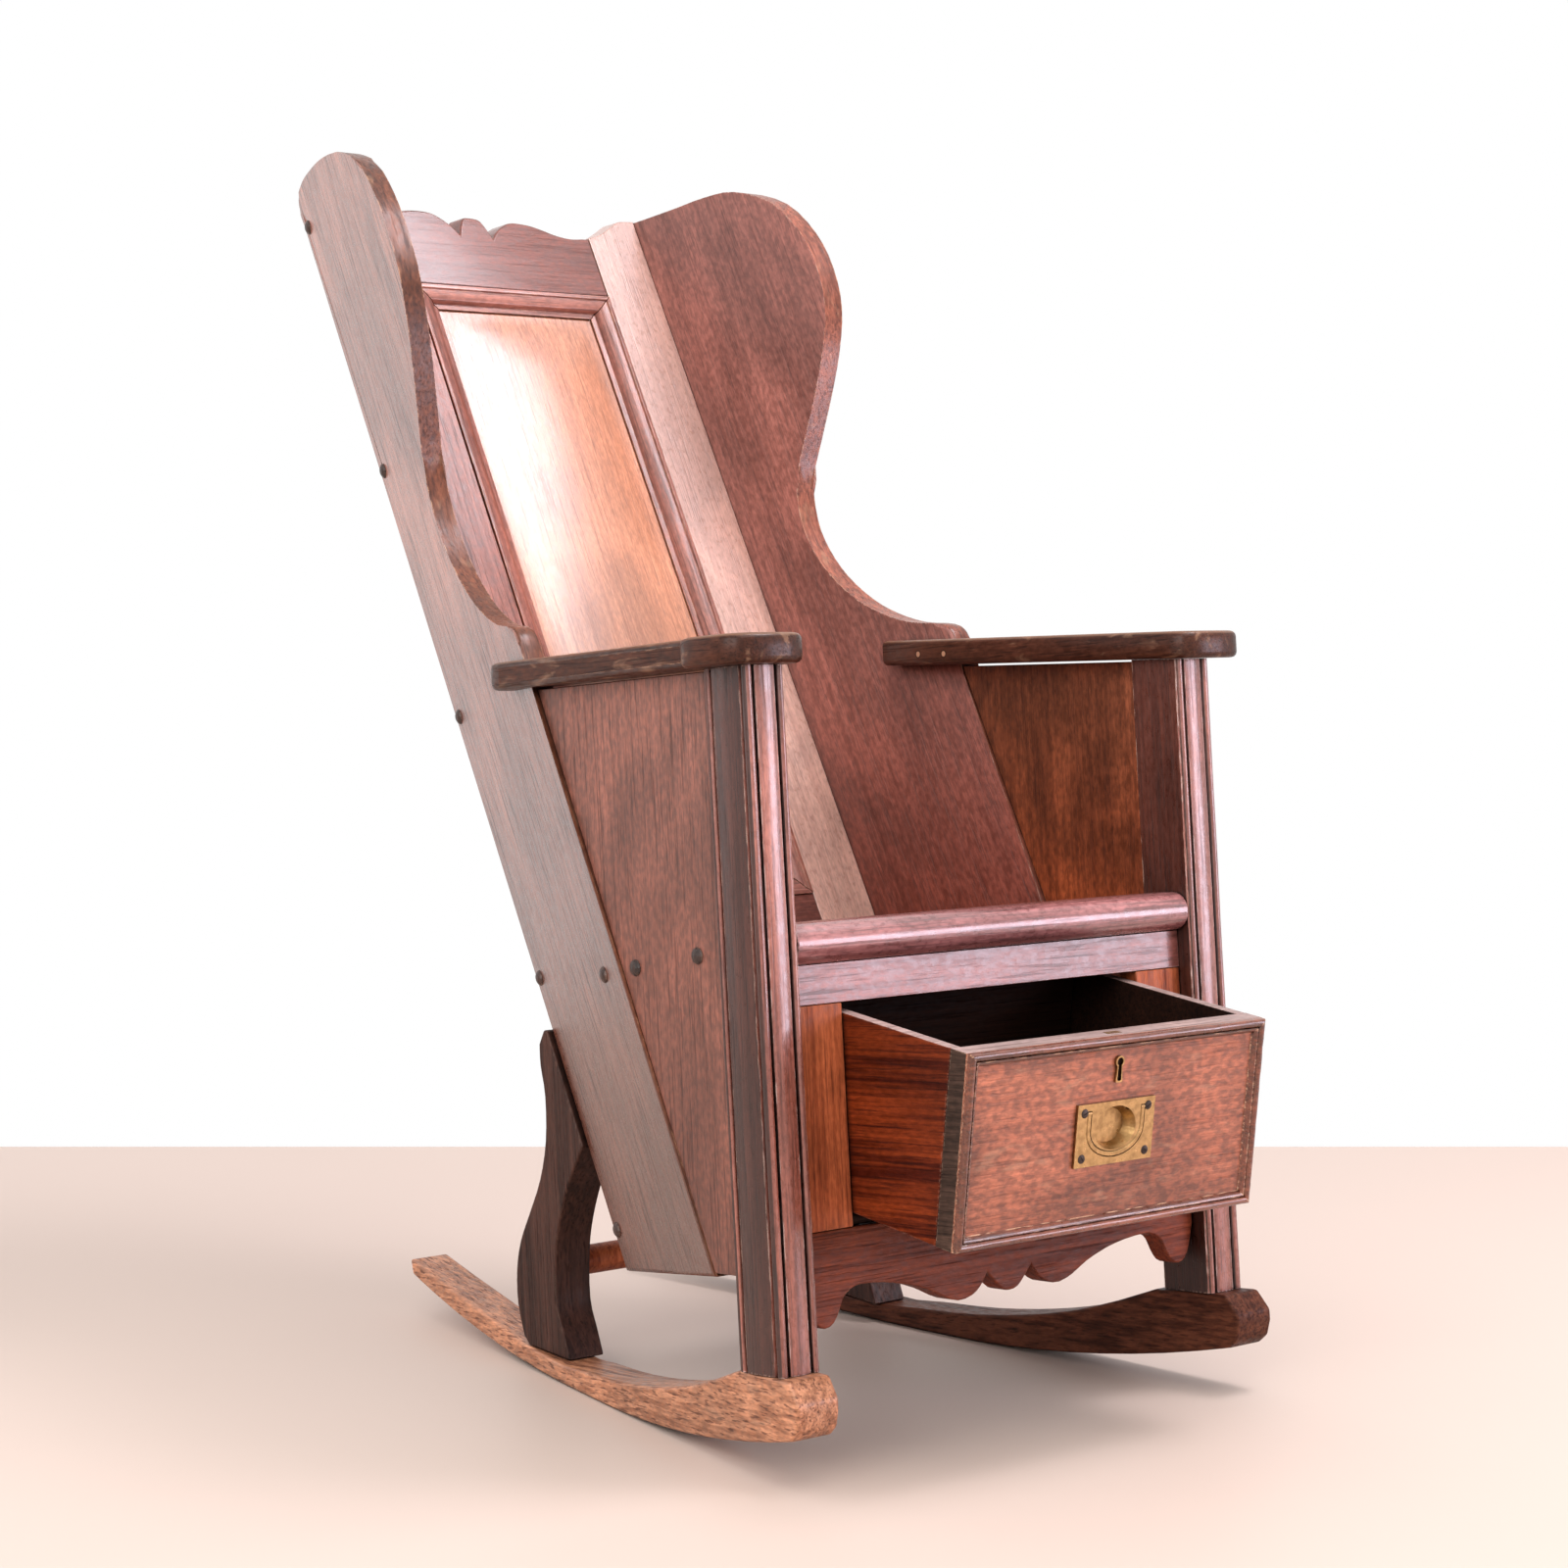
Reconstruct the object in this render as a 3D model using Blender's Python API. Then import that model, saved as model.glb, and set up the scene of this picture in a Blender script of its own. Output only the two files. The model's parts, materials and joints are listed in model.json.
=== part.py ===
# Lambing chair on rockers: winged, panelled back, seat box with a drawer.
# Metres, +Z up, the chair faces -Y, the floor is Z = 0.
# The chair body is drawn square to its front posts and then leaned back as it rests on its rockers.
import math

import bmesh
import bpy
from mathutils import Matrix, Vector

# Fits
GAP = 0.0003                # working gap between touching pieces
SLIDE_GAP = 0.0010          # side clearance of the drawer in its opening
PIN_GAP = 0.00005           # radial clearance of the handle pins

# Rest position on the floor
HOME_Y = 0.3486             # middle of the overall depth, behind the post line
LEAN = math.radians(4.85)   # backward lean of the front posts
LIFT = 0.088                # height of the post feet above the floor

# Front posts
POST_IN = 0.230             # inner face to centre line
POST_WIDE = 0.042
POST_FRONT = -0.038
POST_DEEP = 0.059
POST_TALL = 0.584
BEAD = 0.0045               # bead run along the post edges
QUIRK = 0.0030              # width of the groove beside a bead
QUIRK_DEEP = 0.0022



def curved(points, steps=3):
    """A smooth curve through the points, with that many steps between neighbours."""
    ends = [points[0]] + list(points) + [points[-1]]
    line = []
    for a, b, c, d in zip(ends, ends[1:], ends[2:], ends[3:]):
        for i in range(steps):
            t = i / steps
            line.append(tuple(
                0.5 * (2 * q + (r - p) * t + (2 * p - 5 * q + 4 * r - s) * t * t
                       + (3 * q - p - 3 * r + s) * t ** 3)
                for p, q, r, s in zip(a, b, c, d)))
    return line + [points[-1]]


# Seat, falling towards the back
SEAT_FRONT = 0.0045
SEAT_MID = 0.3515           # height of the board's middle at the front
SEAT_FALL = 0.120
SEAT_THICK = 0.018
NOSE_TALL = 0.035
NOSE_FRONT = -0.036
NOSE_DEEP = 0.040
NOSE_LOW = SEAT_MID - NOSE_TALL / 2


def seat_mid(y):
    """Height of the seat board's middle at a depth."""
    return SEAT_MID - SEAT_FALL * y


# Raked wing boards: outer face at the back edge, rake of that edge and splay towards the front
WING_BACK = 0.200
WING_BACK_Y = 0.2529
RAKE = 0.4587
SPLAY = 0.290
WING_THICK = 0.022
WING_EASE = 0.0035
WING_FOOT_BACK = 0.052
SEAM_FOOT_Y = 0.052
SEAM_FOOT_Z = 0.075
SEAM_TOP_Y = 0.276
SEAM_RISE = 0.005           # top of the seam above the posts
SEAM_TOP_Z = POST_TALL + SEAM_RISE
WING_RISE = [
    (0.286, 0.034), (0.292, 0.048), (0.305, 0.057), (0.342, 0.062), (0.376, 0.074), (0.406, 0.091),
    (0.437, 0.117), (0.461, 0.147), (0.477, 0.179), (0.485, 0.222), (0.477, 0.266), (0.468, 0.309),
    (0.461, 0.356), (0.461, 0.402), (0.474, 0.446), (0.498, 0.487), (0.536, 0.524), (0.584, 0.543),
]
WING_SWEEP = [(y, POST_TALL + rise) for y, rise in WING_RISE]
WING_CROWN = {              # distance ahead of the back edge and rise; the left board is cut fuller
    "left": [
        (0.162, 0.548), (0.136, 0.551), (0.104, 0.552), (0.070, 0.550), (0.043, 0.547), (0.020, 0.541),
        (0.006, 0.535), (-0.0015, 0.525), (-0.002, 0.514),
    ],
    "right": [(0.148, 0.543), (0.107, 0.537), (0.054, 0.530), (0.026, 0.528), (0.010, 0.523), (0.002, 0.514)],
}
WING_SHOULDER_RISE = 0.504  # where the crown meets the straight back edge
WING_TOP_RISE = 0.528       # top line of the framed back above the posts
WING_TOP = POST_TALL + WING_TOP_RISE

# Side panels between wing board and post
PANEL_OUT = 0.266
PANEL_THICK = 0.016
PANEL_DROP = 0.0015         # open joint under the arm
PANEL_TOP = POST_TALL - PANEL_DROP
PANEL_FOOT = 0.078

# Arms
ARM_TILT = {"left": 0.0, "right": 0.050}    # rise for each metre back; the right arm lies nearer level
ARM_PIVOT = POST_FRONT + POST_DEEP / 2
ARM_THICK = 0.025
ARM_EASE = 0.0055
ARM_FRONT = [
    (0.216, -0.040), (0.222, -0.052), (0.236, -0.060), (0.262, -0.062), (0.286, -0.058), (0.299, -0.046),
    (0.304, -0.028), (0.304, 0.000), (0.298, 0.014), (0.290, 0.020),
]
ARM_HEEL = [(0.289, 0.300), (0.285, 0.318), (0.276, 0.327)]
ARM_TINE = [(0.243, 0.327), (0.235, 0.345), (0.228, 0.351), (0.208, 0.351), (0.203, 0.345)]
ARM_INNER = [(0.203, 0.250), (0.211, 0.120), (0.214, 0.030)]
ARM_PLAN = curved(ARM_FRONT) + curved(ARM_HEEL) + ARM_TINE + ARM_INNER

# Front frame
FRAME_FRONT = -0.020
FRAME_THICK = 0.022
RAIL_TALL = 0.0337
RAIL_LOW = NOSE_LOW - GAP - RAIL_TALL
STILE_IN = 0.1735
APRON_TOP = 0.1107
APRON_EDGE = [
    (0.2292, 0.064), (0.224, 0.046), (0.218, 0.034), (0.209, 0.030), (0.200, 0.033), (0.193, 0.043),
    (0.188, 0.053), (0.180, 0.059), (0.168, 0.062), (0.143, 0.060), (0.118, 0.055), (0.094, 0.047),
    (0.076, 0.038), (0.060, 0.033), (0.045, 0.035), (0.034, 0.042), (0.026, 0.053),
]
APRON_LOBE = [(0.018, 0.044), (0.009, 0.036), (0.000, 0.034), (-0.009, 0.036), (-0.018, 0.044)]

# Framed back: front face measured ahead of the wing boards' back edge
BACK_AHEAD = 0.050
BACK_THICK = 0.028
STILE_EDGE = 0.122          # inner edge of the back stiles
BACK_RAIL_TALL = 0.088
BACK_RAIL_DROP = 0.0615     # foot of the bottom rail below the seat's front
STILE_DROP = 0.005
BACK_RAIL_LOW = SEAT_MID - BACK_RAIL_DROP
BACK_RAIL_TOP = BACK_RAIL_LOW + BACK_RAIL_TALL
STILE_LOW = BACK_RAIL_LOW - STILE_DROP
STILE_RISE = {
    "left": [(0.122, -0.014), (0.138, -0.011), (0.154, -0.006), (0.170, 0.000), (0.190, 0.003)],
    "right": [
        (0.122, -0.022), (0.138, -0.017), (0.153, -0.009), (0.168, 0.000), (0.176, 0.002), (0.190, 0.003),
    ],
}
END_CLEAR = 0.004           # a carved edge runs level this close to its board's end
CREST_TALL = 0.090
CREST_LOW = WING_TOP - CREST_TALL
CREST_SHIFT = -0.0245       # the carved centre sits a little to the left
CREST_TILT = 0.040          # the carving climbs to the left, as a slope
CREST_BUD = [(0.000, -0.010), (0.009, -0.011), (0.014, -0.017), (0.0205, -0.031)]
CREST_WAVE = [
    (0.025, -0.025), (0.033, -0.018), (0.043, -0.012), (0.051, -0.0095), (0.061, -0.009), (0.075, -0.010),
    (0.088, -0.013), (0.102, -0.017), (0.114, -0.019), (0.124, -0.0195), (0.134, -0.0185), (0.146, -0.0165),
]
CREST_TOP = [(x, WING_TOP + rise) for x, rise in curved(CREST_BUD) + curved(CREST_WAVE)]
MOULD_WIDE = 0.026
MOULD_TALL = 0.014
MOULD_BED = 0.012           # depth of the moulding's bed below the frame face
PANEL_BOARD = 0.010
PANEL_BOW = 0.008

# Rear legs and stretcher
LEG_OUT = 0.206
LEG_THICK = 0.040
LEG_BACK = [
    (0.391, 0.256), (0.391, 0.236), (0.386, 0.207), (0.389, 0.165), (0.402, 0.128), (0.422, 0.096),
    (0.440, 0.068), (0.449, 0.040), (0.450, 0.008), (0.442, -0.022),
]
LEG_FOOT = [(0.434, -0.030), (0.367, -0.0385)]
LEG_FRONT = [(0.376, -0.012), (0.384, 0.014), (0.381, 0.059), (0.372, 0.091), (0.354, 0.127)]
LEG_LEAVES = 0.163          # height at which the leg leaves the wing board
LEG_TOP = 0.268
STRETCHER_R = 0.014
STRETCHER_Y = 0.414
STRETCHER_Z = 0.045

# Rockers
ROCK_OUT = 0.274
ROCK_WIDE = 0.044
ROCK_TOE = 0.143            # inward run per metre towards the back
ROCK_TOE_FROM = -0.030
ROCK_REST = 0.297           # where the rockers meet the floor
ROCK_FLAT = 0.022
ROCK_R_FRONT = 1.250
ROCK_R_BACK = 1.800
ROCK_TOP_FRONT = [(-0.067, 0.066), (-0.066, 0.076), (-0.060, 0.083)]
ROCK_TOP_MID = [(0.070, 0.068), (0.120, 0.051), (0.180, 0.037), (0.250, 0.0265), (0.320, 0.0215)]
ROCK_TOP_BACK = [(0.500, 0.0300), (0.560, 0.0370), (0.630, 0.0450), (0.700, 0.0540)]
ROCK_TIP = 0.694

# Studs along the wing boards and the seat line
STUD_R = 0.0075
STUD_TALL = 0.0040
SHANK_R = 0.0045
SHANK_LONG = 0.012
STUD_INSET = 0.013
STUD_TOP_DROP = 0.028
STUD_HEIGHTS = [WING_TOP - STUD_TOP_DROP, 0.820, 0.569, 0.318, 0.090]
STUD_BEHIND_SEAM = 0.041    # studs on the seat line, counted from the seam
STUD_BEFORE_SEAM = [0.019, 0.109]

# Drawer: drawn shut and square, then drawn out and tipped on its bearer
DRAWN = 0.123               # how far it stands open
TIP = math.radians(11.0)    # how far the open drawer tips forward
BEARER_Y = -0.012
BEARER_R = 0.006
BEARER_Z = APRON_TOP + GAP + BEARER_R
DRAWER_LOW = BEARER_Z + BEARER_R + GAP
DRAWER_SLACK = 0.0107       # room above the shut drawer
DRAWER_TALL = RAIL_LOW - DRAWER_SLACK - DRAWER_LOW
DRAWER_DEEP = 0.235
DRAWER_FRONT = 0.020
DRAWER_SIDE = 0.012
DRAWER_BOTTOM = 0.008
DRAWER_BED = 0.008          # height of the bottom board above the sides' lower edge
EDGE_WIDE = 0.013           # applied moulding round the drawer front
EDGE_TALL = 0.006
RUNNER_WIDE = 0.024
RUNNER_TALL = 0.020
RUNNER_LONG = 0.185

# Brass
HANDLE_DOWN = 0.083         # centre of the handle plate below the drawer's top
PLATE_WIDE = 0.090
PLATE_TALL = 0.054
PLATE_THICK = 0.0025
CUP_HALF_WIDE = 0.024
CUP_HALF_TALL = 0.019
CUP_UP = 0.0038             # centre of the cup above the plate's centre
CUP_TAPER = 0.78            # size of the cup's floor against its mouth
CUP_DEEP = 0.008
BOSS_WALL = 0.002           # metal left behind and beside the cup and the bail's groove
BAIL_HALF = 0.0311
BAIL_DROP = 0.0375          # pivot to the middle of the lowest part
BAIL_LEG = 0.016            # straight run below the pivot
BAIL_WIDE = 0.0046
BAIL_THICK = 0.0036
BAIL_ROUND = 0.0008
BAIL_PROUD = 0.0003
BAIL_UP = 0.0188            # pivot above the plate's centre
BAIL_ROOM = 0.0004          # clearance of the bail in its groove
PIN_R = 0.0012
PIN_LONG = 0.0020
KEY_WIDE = 0.009
KEY_TALL = 0.024
KEY_THICK = 0.0015
KEY_MARGIN = 0.004          # keyhole plate below the top moulding
KEY_DOWN = EDGE_WIDE + KEY_MARGIN + KEY_TALL / 2
BOLT_WIDE = 0.016
BOLT_THICK = 0.006
BOLT_LONG = 0.034
MORTISE_DEEP = 0.014

# Colours of the plain materials
WOOD = (0.20, 0.075, 0.04)
DARK_WOOD = (0.10, 0.05, 0.035)
BRASS = (0.55, 0.38, 0.14)
IRON = (0.06, 0.05, 0.05)

for old in list(bpy.data.objects):
    bpy.data.objects.remove(old, do_unlink=True)

# From the square chair frame to the floor frame
CHAIR = Matrix.Translation((0, -HOME_Y, LIFT)) @ Matrix.Rotation(-LEAN, 4, "X")
PIVOT = Vector((0, BEARER_Y, BEARER_Z))
DRAWER = (CHAIR @ Matrix.Translation(PIVOT) @ Matrix.Rotation(TIP, 4, "X")
          @ Matrix.Translation(-PIVOT) @ Matrix.Translation((0, -DRAWN, 0)))
FLOOR = Matrix.Translation((0, -HOME_Y, 0))


def finish(name, bm, colour, frame=CHAIR, origin=None, smooth=False, metal=0.0):
    """Turns a bmesh into a named object with its own material."""
    bmesh.ops.recalc_face_normals(bm, faces=bm.faces)
    bm.transform(frame)
    if origin is not None:
        bmesh.ops.translate(bm, verts=bm.verts, vec=-origin)
    mesh = bpy.data.meshes.new(name)
    bm.to_mesh(mesh)
    bm.free()
    for face in mesh.polygons:
        face.use_smooth = smooth
    mat = bpy.data.materials.new(name)
    mat.use_nodes = True
    shader = mat.node_tree.nodes["Principled BSDF"]
    shader.inputs["Base Color"].default_value = (*colour, 1.0)
    shader.inputs["Roughness"].default_value = 0.45
    shader.inputs["Metallic"].default_value = metal
    mesh.materials.append(mat)
    obj = bpy.data.objects.new(name, mesh)
    if origin is not None:
        obj.location = origin
    bpy.context.scene.collection.objects.link(obj)
    return obj


def loft(low, high):
    """A closed solid between two matching outlines of 3-D points."""
    bm = bmesh.new()
    a = [bm.verts.new(p) for p in low]
    b = [bm.verts.new(p) for p in high]
    count = len(a)
    bm.faces.new(a)
    bm.faces.new(list(reversed(b)))
    for i in range(count):
        j = (i + 1) % count
        bm.faces.new((a[j], a[i], b[i], b[j]))
    return bm


def box(x0, x1, y0, y1, z0, z1):
    low = [(x0, y0, z0), (x1, y0, z0), (x1, y1, z0), (x0, y1, z0)]
    return loft(low, [(x, y, z1) for x, y, z in low])


def plank(outline, y0, y1):
    """A plank cut to an outline in X and Z."""
    return loft([(x, y0, z) for x, z in outline], [(x, y1, z) for x, z in outline])


def ease(bm, caps, width, steps):
    """Rounds the edges round the named end faces."""
    edges = set()
    for face in caps:
        edges.update(face.edges)
    bmesh.ops.bevel(bm, geom=list(edges), offset=width, segments=steps, profile=0.5,
                    affect="EDGES", clamp_overlap=True)


def inset(outline, by):
    """A counter-clockwise outline moved inwards all round."""
    moved = []
    for i, point in enumerate(outline):
        here = Vector(point)
        before = (here - Vector(outline[i - 1])).normalized()
        after = (Vector(outline[(i + 1) % len(outline)]) - here).normalized()
        inward = Vector((-before.y - after.y, before.x + after.x))
        moved.append(here + inward * by / (1.0 + before.dot(after)))
    return moved


def slab(outline, low, high, radius, steps):
    """A flat piece with its upper and lower edges rounded."""
    turns = [math.pi / 2 * i / steps for i in range(steps + 1)]
    levels = [(radius * (1 - math.sin(t)), radius * (1 - math.cos(t))) for t in turns]
    levels = [(by, low + up) for by, up in levels] + [(by, high - up) for by, up in reversed(levels)]
    bm = bmesh.new()
    rings = [[bm.verts.new((*p, z)) for p in inset(outline, by)] for by, z in levels]
    bm.faces.new(list(reversed(rings[0])))
    bm.faces.new(rings[-1])
    for below, above in zip(rings, rings[1:]):
        for i in range(len(outline)):
            bm.faces.new((below[i - 1], below[i], above[i], above[i - 1]))
    return bm


def mirror(bm, side):
    """side is +1 for the right hand and -1 for the left."""
    if side < 0:
        bmesh.ops.scale(bm, vec=(-1, 1, 1), verts=bm.verts)
        bmesh.ops.reverse_faces(bm, faces=bm.faces)
    return bm


def cylinder(radius, depth, matrix, sides=16):
    bm = bmesh.new()
    bmesh.ops.create_cone(bm, cap_ends=True, segments=sides, radius1=radius, radius2=radius,
                          depth=depth, matrix=matrix)
    return bm


def loose(name, bm):
    """A bare object for a Boolean step."""
    bmesh.ops.recalc_face_normals(bm, faces=bm.faces)
    if bm.calc_volume(signed=True) < 0:
        bmesh.ops.reverse_faces(bm, faces=bm.faces)
    mesh = bpy.data.meshes.new(name)
    bm.to_mesh(mesh)
    bm.free()
    obj = bpy.data.objects.new(name, mesh)
    bpy.context.scene.collection.objects.link(obj)
    return obj


def combine(bm, cutters, how):
    """Joins the cutters to a body, or cuts them out of it, and returns the result."""
    body = loose("body", bm)
    for cutter in cutters:
        tool = loose("cutter", cutter)
        tool.hide_render = True
        tool.display_type = "WIRE"
        step = body.modifiers.new("cut", "BOOLEAN")
        step.operation = how
        step.solver = "EXACT"
        step.use_self = True
        step.object = tool
        bpy.context.view_layer.update()
        graph = bpy.context.evaluated_depsgraph_get()
        mesh = bpy.data.meshes.new_from_object(body.evaluated_get(graph))
        body.modifiers.remove(step)
        spare = body.data
        body.data = mesh
        bpy.data.meshes.remove(spare)
        bpy.data.objects.remove(tool, do_unlink=True)
    result = bmesh.new()
    result.from_mesh(body.data)
    bpy.data.objects.remove(body, do_unlink=True)
    return result


def placed(bm, frame):
    bm.transform(frame)
    return bm


# Geometry of the raked, splayed wing boards
def back_edge(z):
    return WING_BACK_Y + RAKE * z


def wing_out(y, z):
    return WING_BACK + SPLAY * (back_edge(z) - y)


WING_NORMAL = Vector((1.0, SPLAY, -SPLAY * RAKE)).normalized()


def wing_point(y, z, inward):
    return Vector((wing_out(y, z) - inward / WING_NORMAL.x, y, z))


def wing_solid(outline, near, far):
    return loft([wing_point(y, z, near) for y, z in outline], [wing_point(y, z, far) for y, z in outline])


def seam(z):
    return SEAM_FOOT_Y + (SEAM_TOP_Y - SEAM_FOOT_Y) * (z - SEAM_FOOT_Z) / (SEAM_TOP_Z - SEAM_FOOT_Z)


def wing_front(z):
    """Front edge of a wing board: up the seam, then on towards the start of the sweep."""
    nib_y, nib_z = WING_SWEEP[0]
    above = SEAM_TOP_Y + (nib_y - SEAM_TOP_Y) * (z - SEAM_TOP_Z) / (nib_z - SEAM_TOP_Z)
    return seam(z) if z < SEAM_TOP_Z else above


def arm_lift(hand, y):
    """Rise of an arm's underside above the level of the posts."""
    return ARM_TILT[hand] * (y - ARM_PIVOT)


def wing_outline(hand):
    """Outline of a wing board, from the foot of its back edge up the seam and round the crown."""
    crown = [(back_edge(POST_TALL + rise) - ahead, POST_TALL + rise) for ahead, rise in WING_CROWN[hand]]
    shoulder = POST_TALL + WING_SHOULDER_RISE
    foot = [(back_edge(WING_FOOT_BACK), WING_FOOT_BACK), (SEAM_FOOT_Y, SEAM_FOOT_Z), (SEAM_TOP_Y, SEAM_TOP_Z)]
    return foot + curved(WING_SWEEP + crown) + [(back_edge(shoulder), shoulder)]


def stud_frame(y, z, side, on_wing):
    """Frame whose Z axis points out of the board at a stud."""
    if on_wing:
        spot = wing_point(y, z, 0.0)
        out = WING_NORMAL.copy()
    else:
        spot = Vector((PANEL_OUT, y, z))
        out = Vector((1, 0, 0))
    spot.x *= side
    out.x *= side
    return Matrix.Translation(spot) @ out.to_track_quat("Z", "Y").to_matrix().to_4x4()


STUD_SPOTS = [(back_edge(z) - STUD_INSET, z, True) for z in STUD_HEIGHTS]
seam_slope = (SEAM_TOP_Y - SEAM_FOOT_Y) / (SEAM_TOP_Z - SEAM_FOOT_Z)
seam_at_seat = seam(SEAT_MID) / (1.0 + seam_slope * SEAT_FALL)
STUD_SPOTS += [(seam_at_seat + STUD_BEHIND_SEAM, seat_mid(seam_at_seat + STUD_BEHIND_SEAM), True)]
STUD_SPOTS += [(seam_at_seat - ahead, seat_mid(seam_at_seat - ahead), False) for ahead in STUD_BEFORE_SEAM]


def stud_holes(on_wing):
    """Holes for the studs of the right-hand wing board or side panel."""
    holes = []
    for y, z, wing in STUD_SPOTS:
        if wing == on_wing:
            depth = 2.0 * (SHANK_LONG + GAP)
            holes.append(cylinder(SHANK_R + GAP, depth, stud_frame(y, z, 1, wing), 12))
    return holes


# Side boards, panels, posts and arms
for side, hand in ((-1, "left"), (1, "right")):
    bm = wing_solid(wing_outline(hand), 0.0, WING_THICK)
    bm.faces.ensure_lookup_table()
    ease(bm, bm.faces[:2], WING_EASE, 2)
    bm = combine(bm, stud_holes(True), "DIFFERENCE")
    finish("wing_" + hand, mirror(bm, side), WOOD)

    front = POST_FRONT + POST_DEEP + GAP
    top = PANEL_TOP + arm_lift(hand, seam(PANEL_TOP))
    outline = [
        (front, PANEL_FOOT), (front, PANEL_TOP + arm_lift(hand, front)),
        (wing_front(top) - GAP, top), (seam(PANEL_FOOT) - GAP, PANEL_FOOT),
    ]
    low = [(PANEL_OUT - PANEL_THICK, y, z) for y, z in outline]
    bm = loft(low, [(PANEL_OUT, y, z) for y, z in outline])
    bm = combine(bm, stud_holes(False), "DIFFERENCE")
    finish("side_panel_" + hand, mirror(bm, side), WOOD)

    # Post section: beads and grooves on the front and outer faces
    x0, x1 = POST_IN, POST_IN + POST_WIDE
    y0, y1 = POST_FRONT, POST_FRONT + POST_DEEP
    section = [(x0, y1), (x0, y0)]
    for edge in (x0 + BEAD, x1 - BEAD - QUIRK):
        section += [(edge, y0), (edge + QUIRK / 2, y0 + QUIRK_DEEP), (edge + QUIRK, y0)]
    section += [(x1, y0)]
    for edge in (y0 + BEAD, y1 - BEAD - QUIRK):
        section += [(x1, edge), (x1 - QUIRK_DEEP, edge + QUIRK / 2), (x1, edge + QUIRK)]
    section += [(x1, y1)]
    head = [(x, y, POST_TALL + arm_lift(hand, y)) for x, y in section]
    bm = loft([(x, y, 0.0) for x, y in section], head)
    finish("post_" + hand, mirror(bm, side), WOOD)

    base = POST_TALL + GAP
    bm = slab(ARM_PLAN, base, base + ARM_THICK, ARM_EASE, 3)
    for vert in bm.verts:
        vert.co.z += arm_lift(hand, vert.co.y)
    z0 = base - 0.03
    nib_y, nib_z = WING_SWEEP[0]
    notch = [(seam(z0) - GAP, z0), (SEAM_TOP_Y - GAP, SEAM_TOP_Z), (nib_y - GAP, nib_z)]
    notch += [(nib_y - GAP, nib_z + ARM_THICK), (0.60, nib_z + ARM_THICK), (0.60, z0)]
    bm = combine(bm, [wing_solid(notch, -GAP, WING_THICK + GAP)], "DIFFERENCE")
    finish("arm_" + hand, mirror(bm, side), DARK_WOOD)

# Studs
for side, hand in ((-1, "left"), (1, "right")):
    for number, (y, z, wing) in enumerate(STUD_SPOTS, start=1):
        profile = [(0.0, STUD_TALL), (STUD_R * 0.5, STUD_TALL * 0.86), (STUD_R * 0.85, STUD_TALL * 0.5),
                   (STUD_R, GAP), (SHANK_R, GAP), (SHANK_R, -SHANK_LONG), (0.0, -SHANK_LONG)]
        bm = bmesh.new()
        ring = [bm.verts.new((r, 0, h)) for r, h in profile]
        edges = [bm.edges.new(pair) for pair in zip(ring, ring[1:])]
        bmesh.ops.spin(bm, geom=ring + edges, axis=(0, 0, 1), cent=(0, 0, 0), steps=12,
                       angle=2 * math.pi, use_merge=True)
        bmesh.ops.remove_doubles(bm, verts=bm.verts, dist=0.00002)
        frame = CHAIR @ stud_frame(y, z, side, wing)
        finish("stud_%s_%d" % (hand, number), bm, DARK_WOOD, frame, smooth=True)

# Seat nosing, seat board and the front frame
half = POST_IN - GAP
nose = [(NOSE_FRONT + NOSE_DEEP, NOSE_LOW), (NOSE_FRONT + NOSE_DEEP, NOSE_LOW + NOSE_TALL)]
for i in range(13):
    turn = math.pi * (0.5 + i / 12.0)
    radius = NOSE_TALL / 2
    nose_y = NOSE_FRONT + radius + radius * math.cos(turn)
    nose_z = NOSE_LOW + radius + radius * math.sin(turn)
    nose.append((nose_y, nose_z))
bm = loft([(-half, y, z) for y, z in nose], [(half, y, z) for y, z in nose])
finish("seat_nosing", bm, WOOD)

rail = box(-half, half, FRAME_FRONT, FRAME_FRONT + FRAME_THICK, RAIL_LOW, NOSE_LOW - GAP)
lock_y = FRAME_FRONT + DRAWER_FRONT / 2
room = 0.001
mortise = box(-BOLT_WIDE / 2 - room, BOLT_WIDE / 2 + room, lock_y - BOLT_THICK / 2 - room,
              lock_y + BOLT_THICK / 2 + room, RAIL_LOW - 0.01, RAIL_LOW + MORTISE_DEEP)
finish("front_top_rail", combine(rail, [mortise], "DIFFERENCE"), WOOD)

for side, hand in ((-1, "left"), (1, "right")):
    bm = box(STILE_IN, half, FRAME_FRONT, FRAME_FRONT + FRAME_THICK, APRON_TOP + GAP, RAIL_LOW - GAP)
    finish("front_stile_" + hand, mirror(bm, side), WOOD)

scroll = curved(APRON_EDGE, 2)
lobe = curved([scroll[-1]] + APRON_LOBE + [(-scroll[-1][0], scroll[-1][1])], 2)
edge = scroll + lobe[1:-1] + [(-x, z) for x, z in reversed(scroll)]
outline = [(-half, APRON_TOP), (half, APRON_TOP)] + edge
finish("apron", plank(outline, FRAME_FRONT, FRAME_FRONT + FRAME_THICK), WOOD)

# The seat lies between the side boards, following their splay, and stops at the back frame
def back_face(z):
    return back_edge(z) - BACK_AHEAD


seat_back = (back_face(SEAT_MID) - GAP) / (1.0 + RAKE * SEAT_FALL) - 0.006
behind_post = POST_FRONT + POST_DEEP + 0.0005
splits = [SEAT_FRONT, behind_post, seam(SEAT_MID - SEAT_FALL * 0.16) - 0.012, seat_back]


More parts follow.
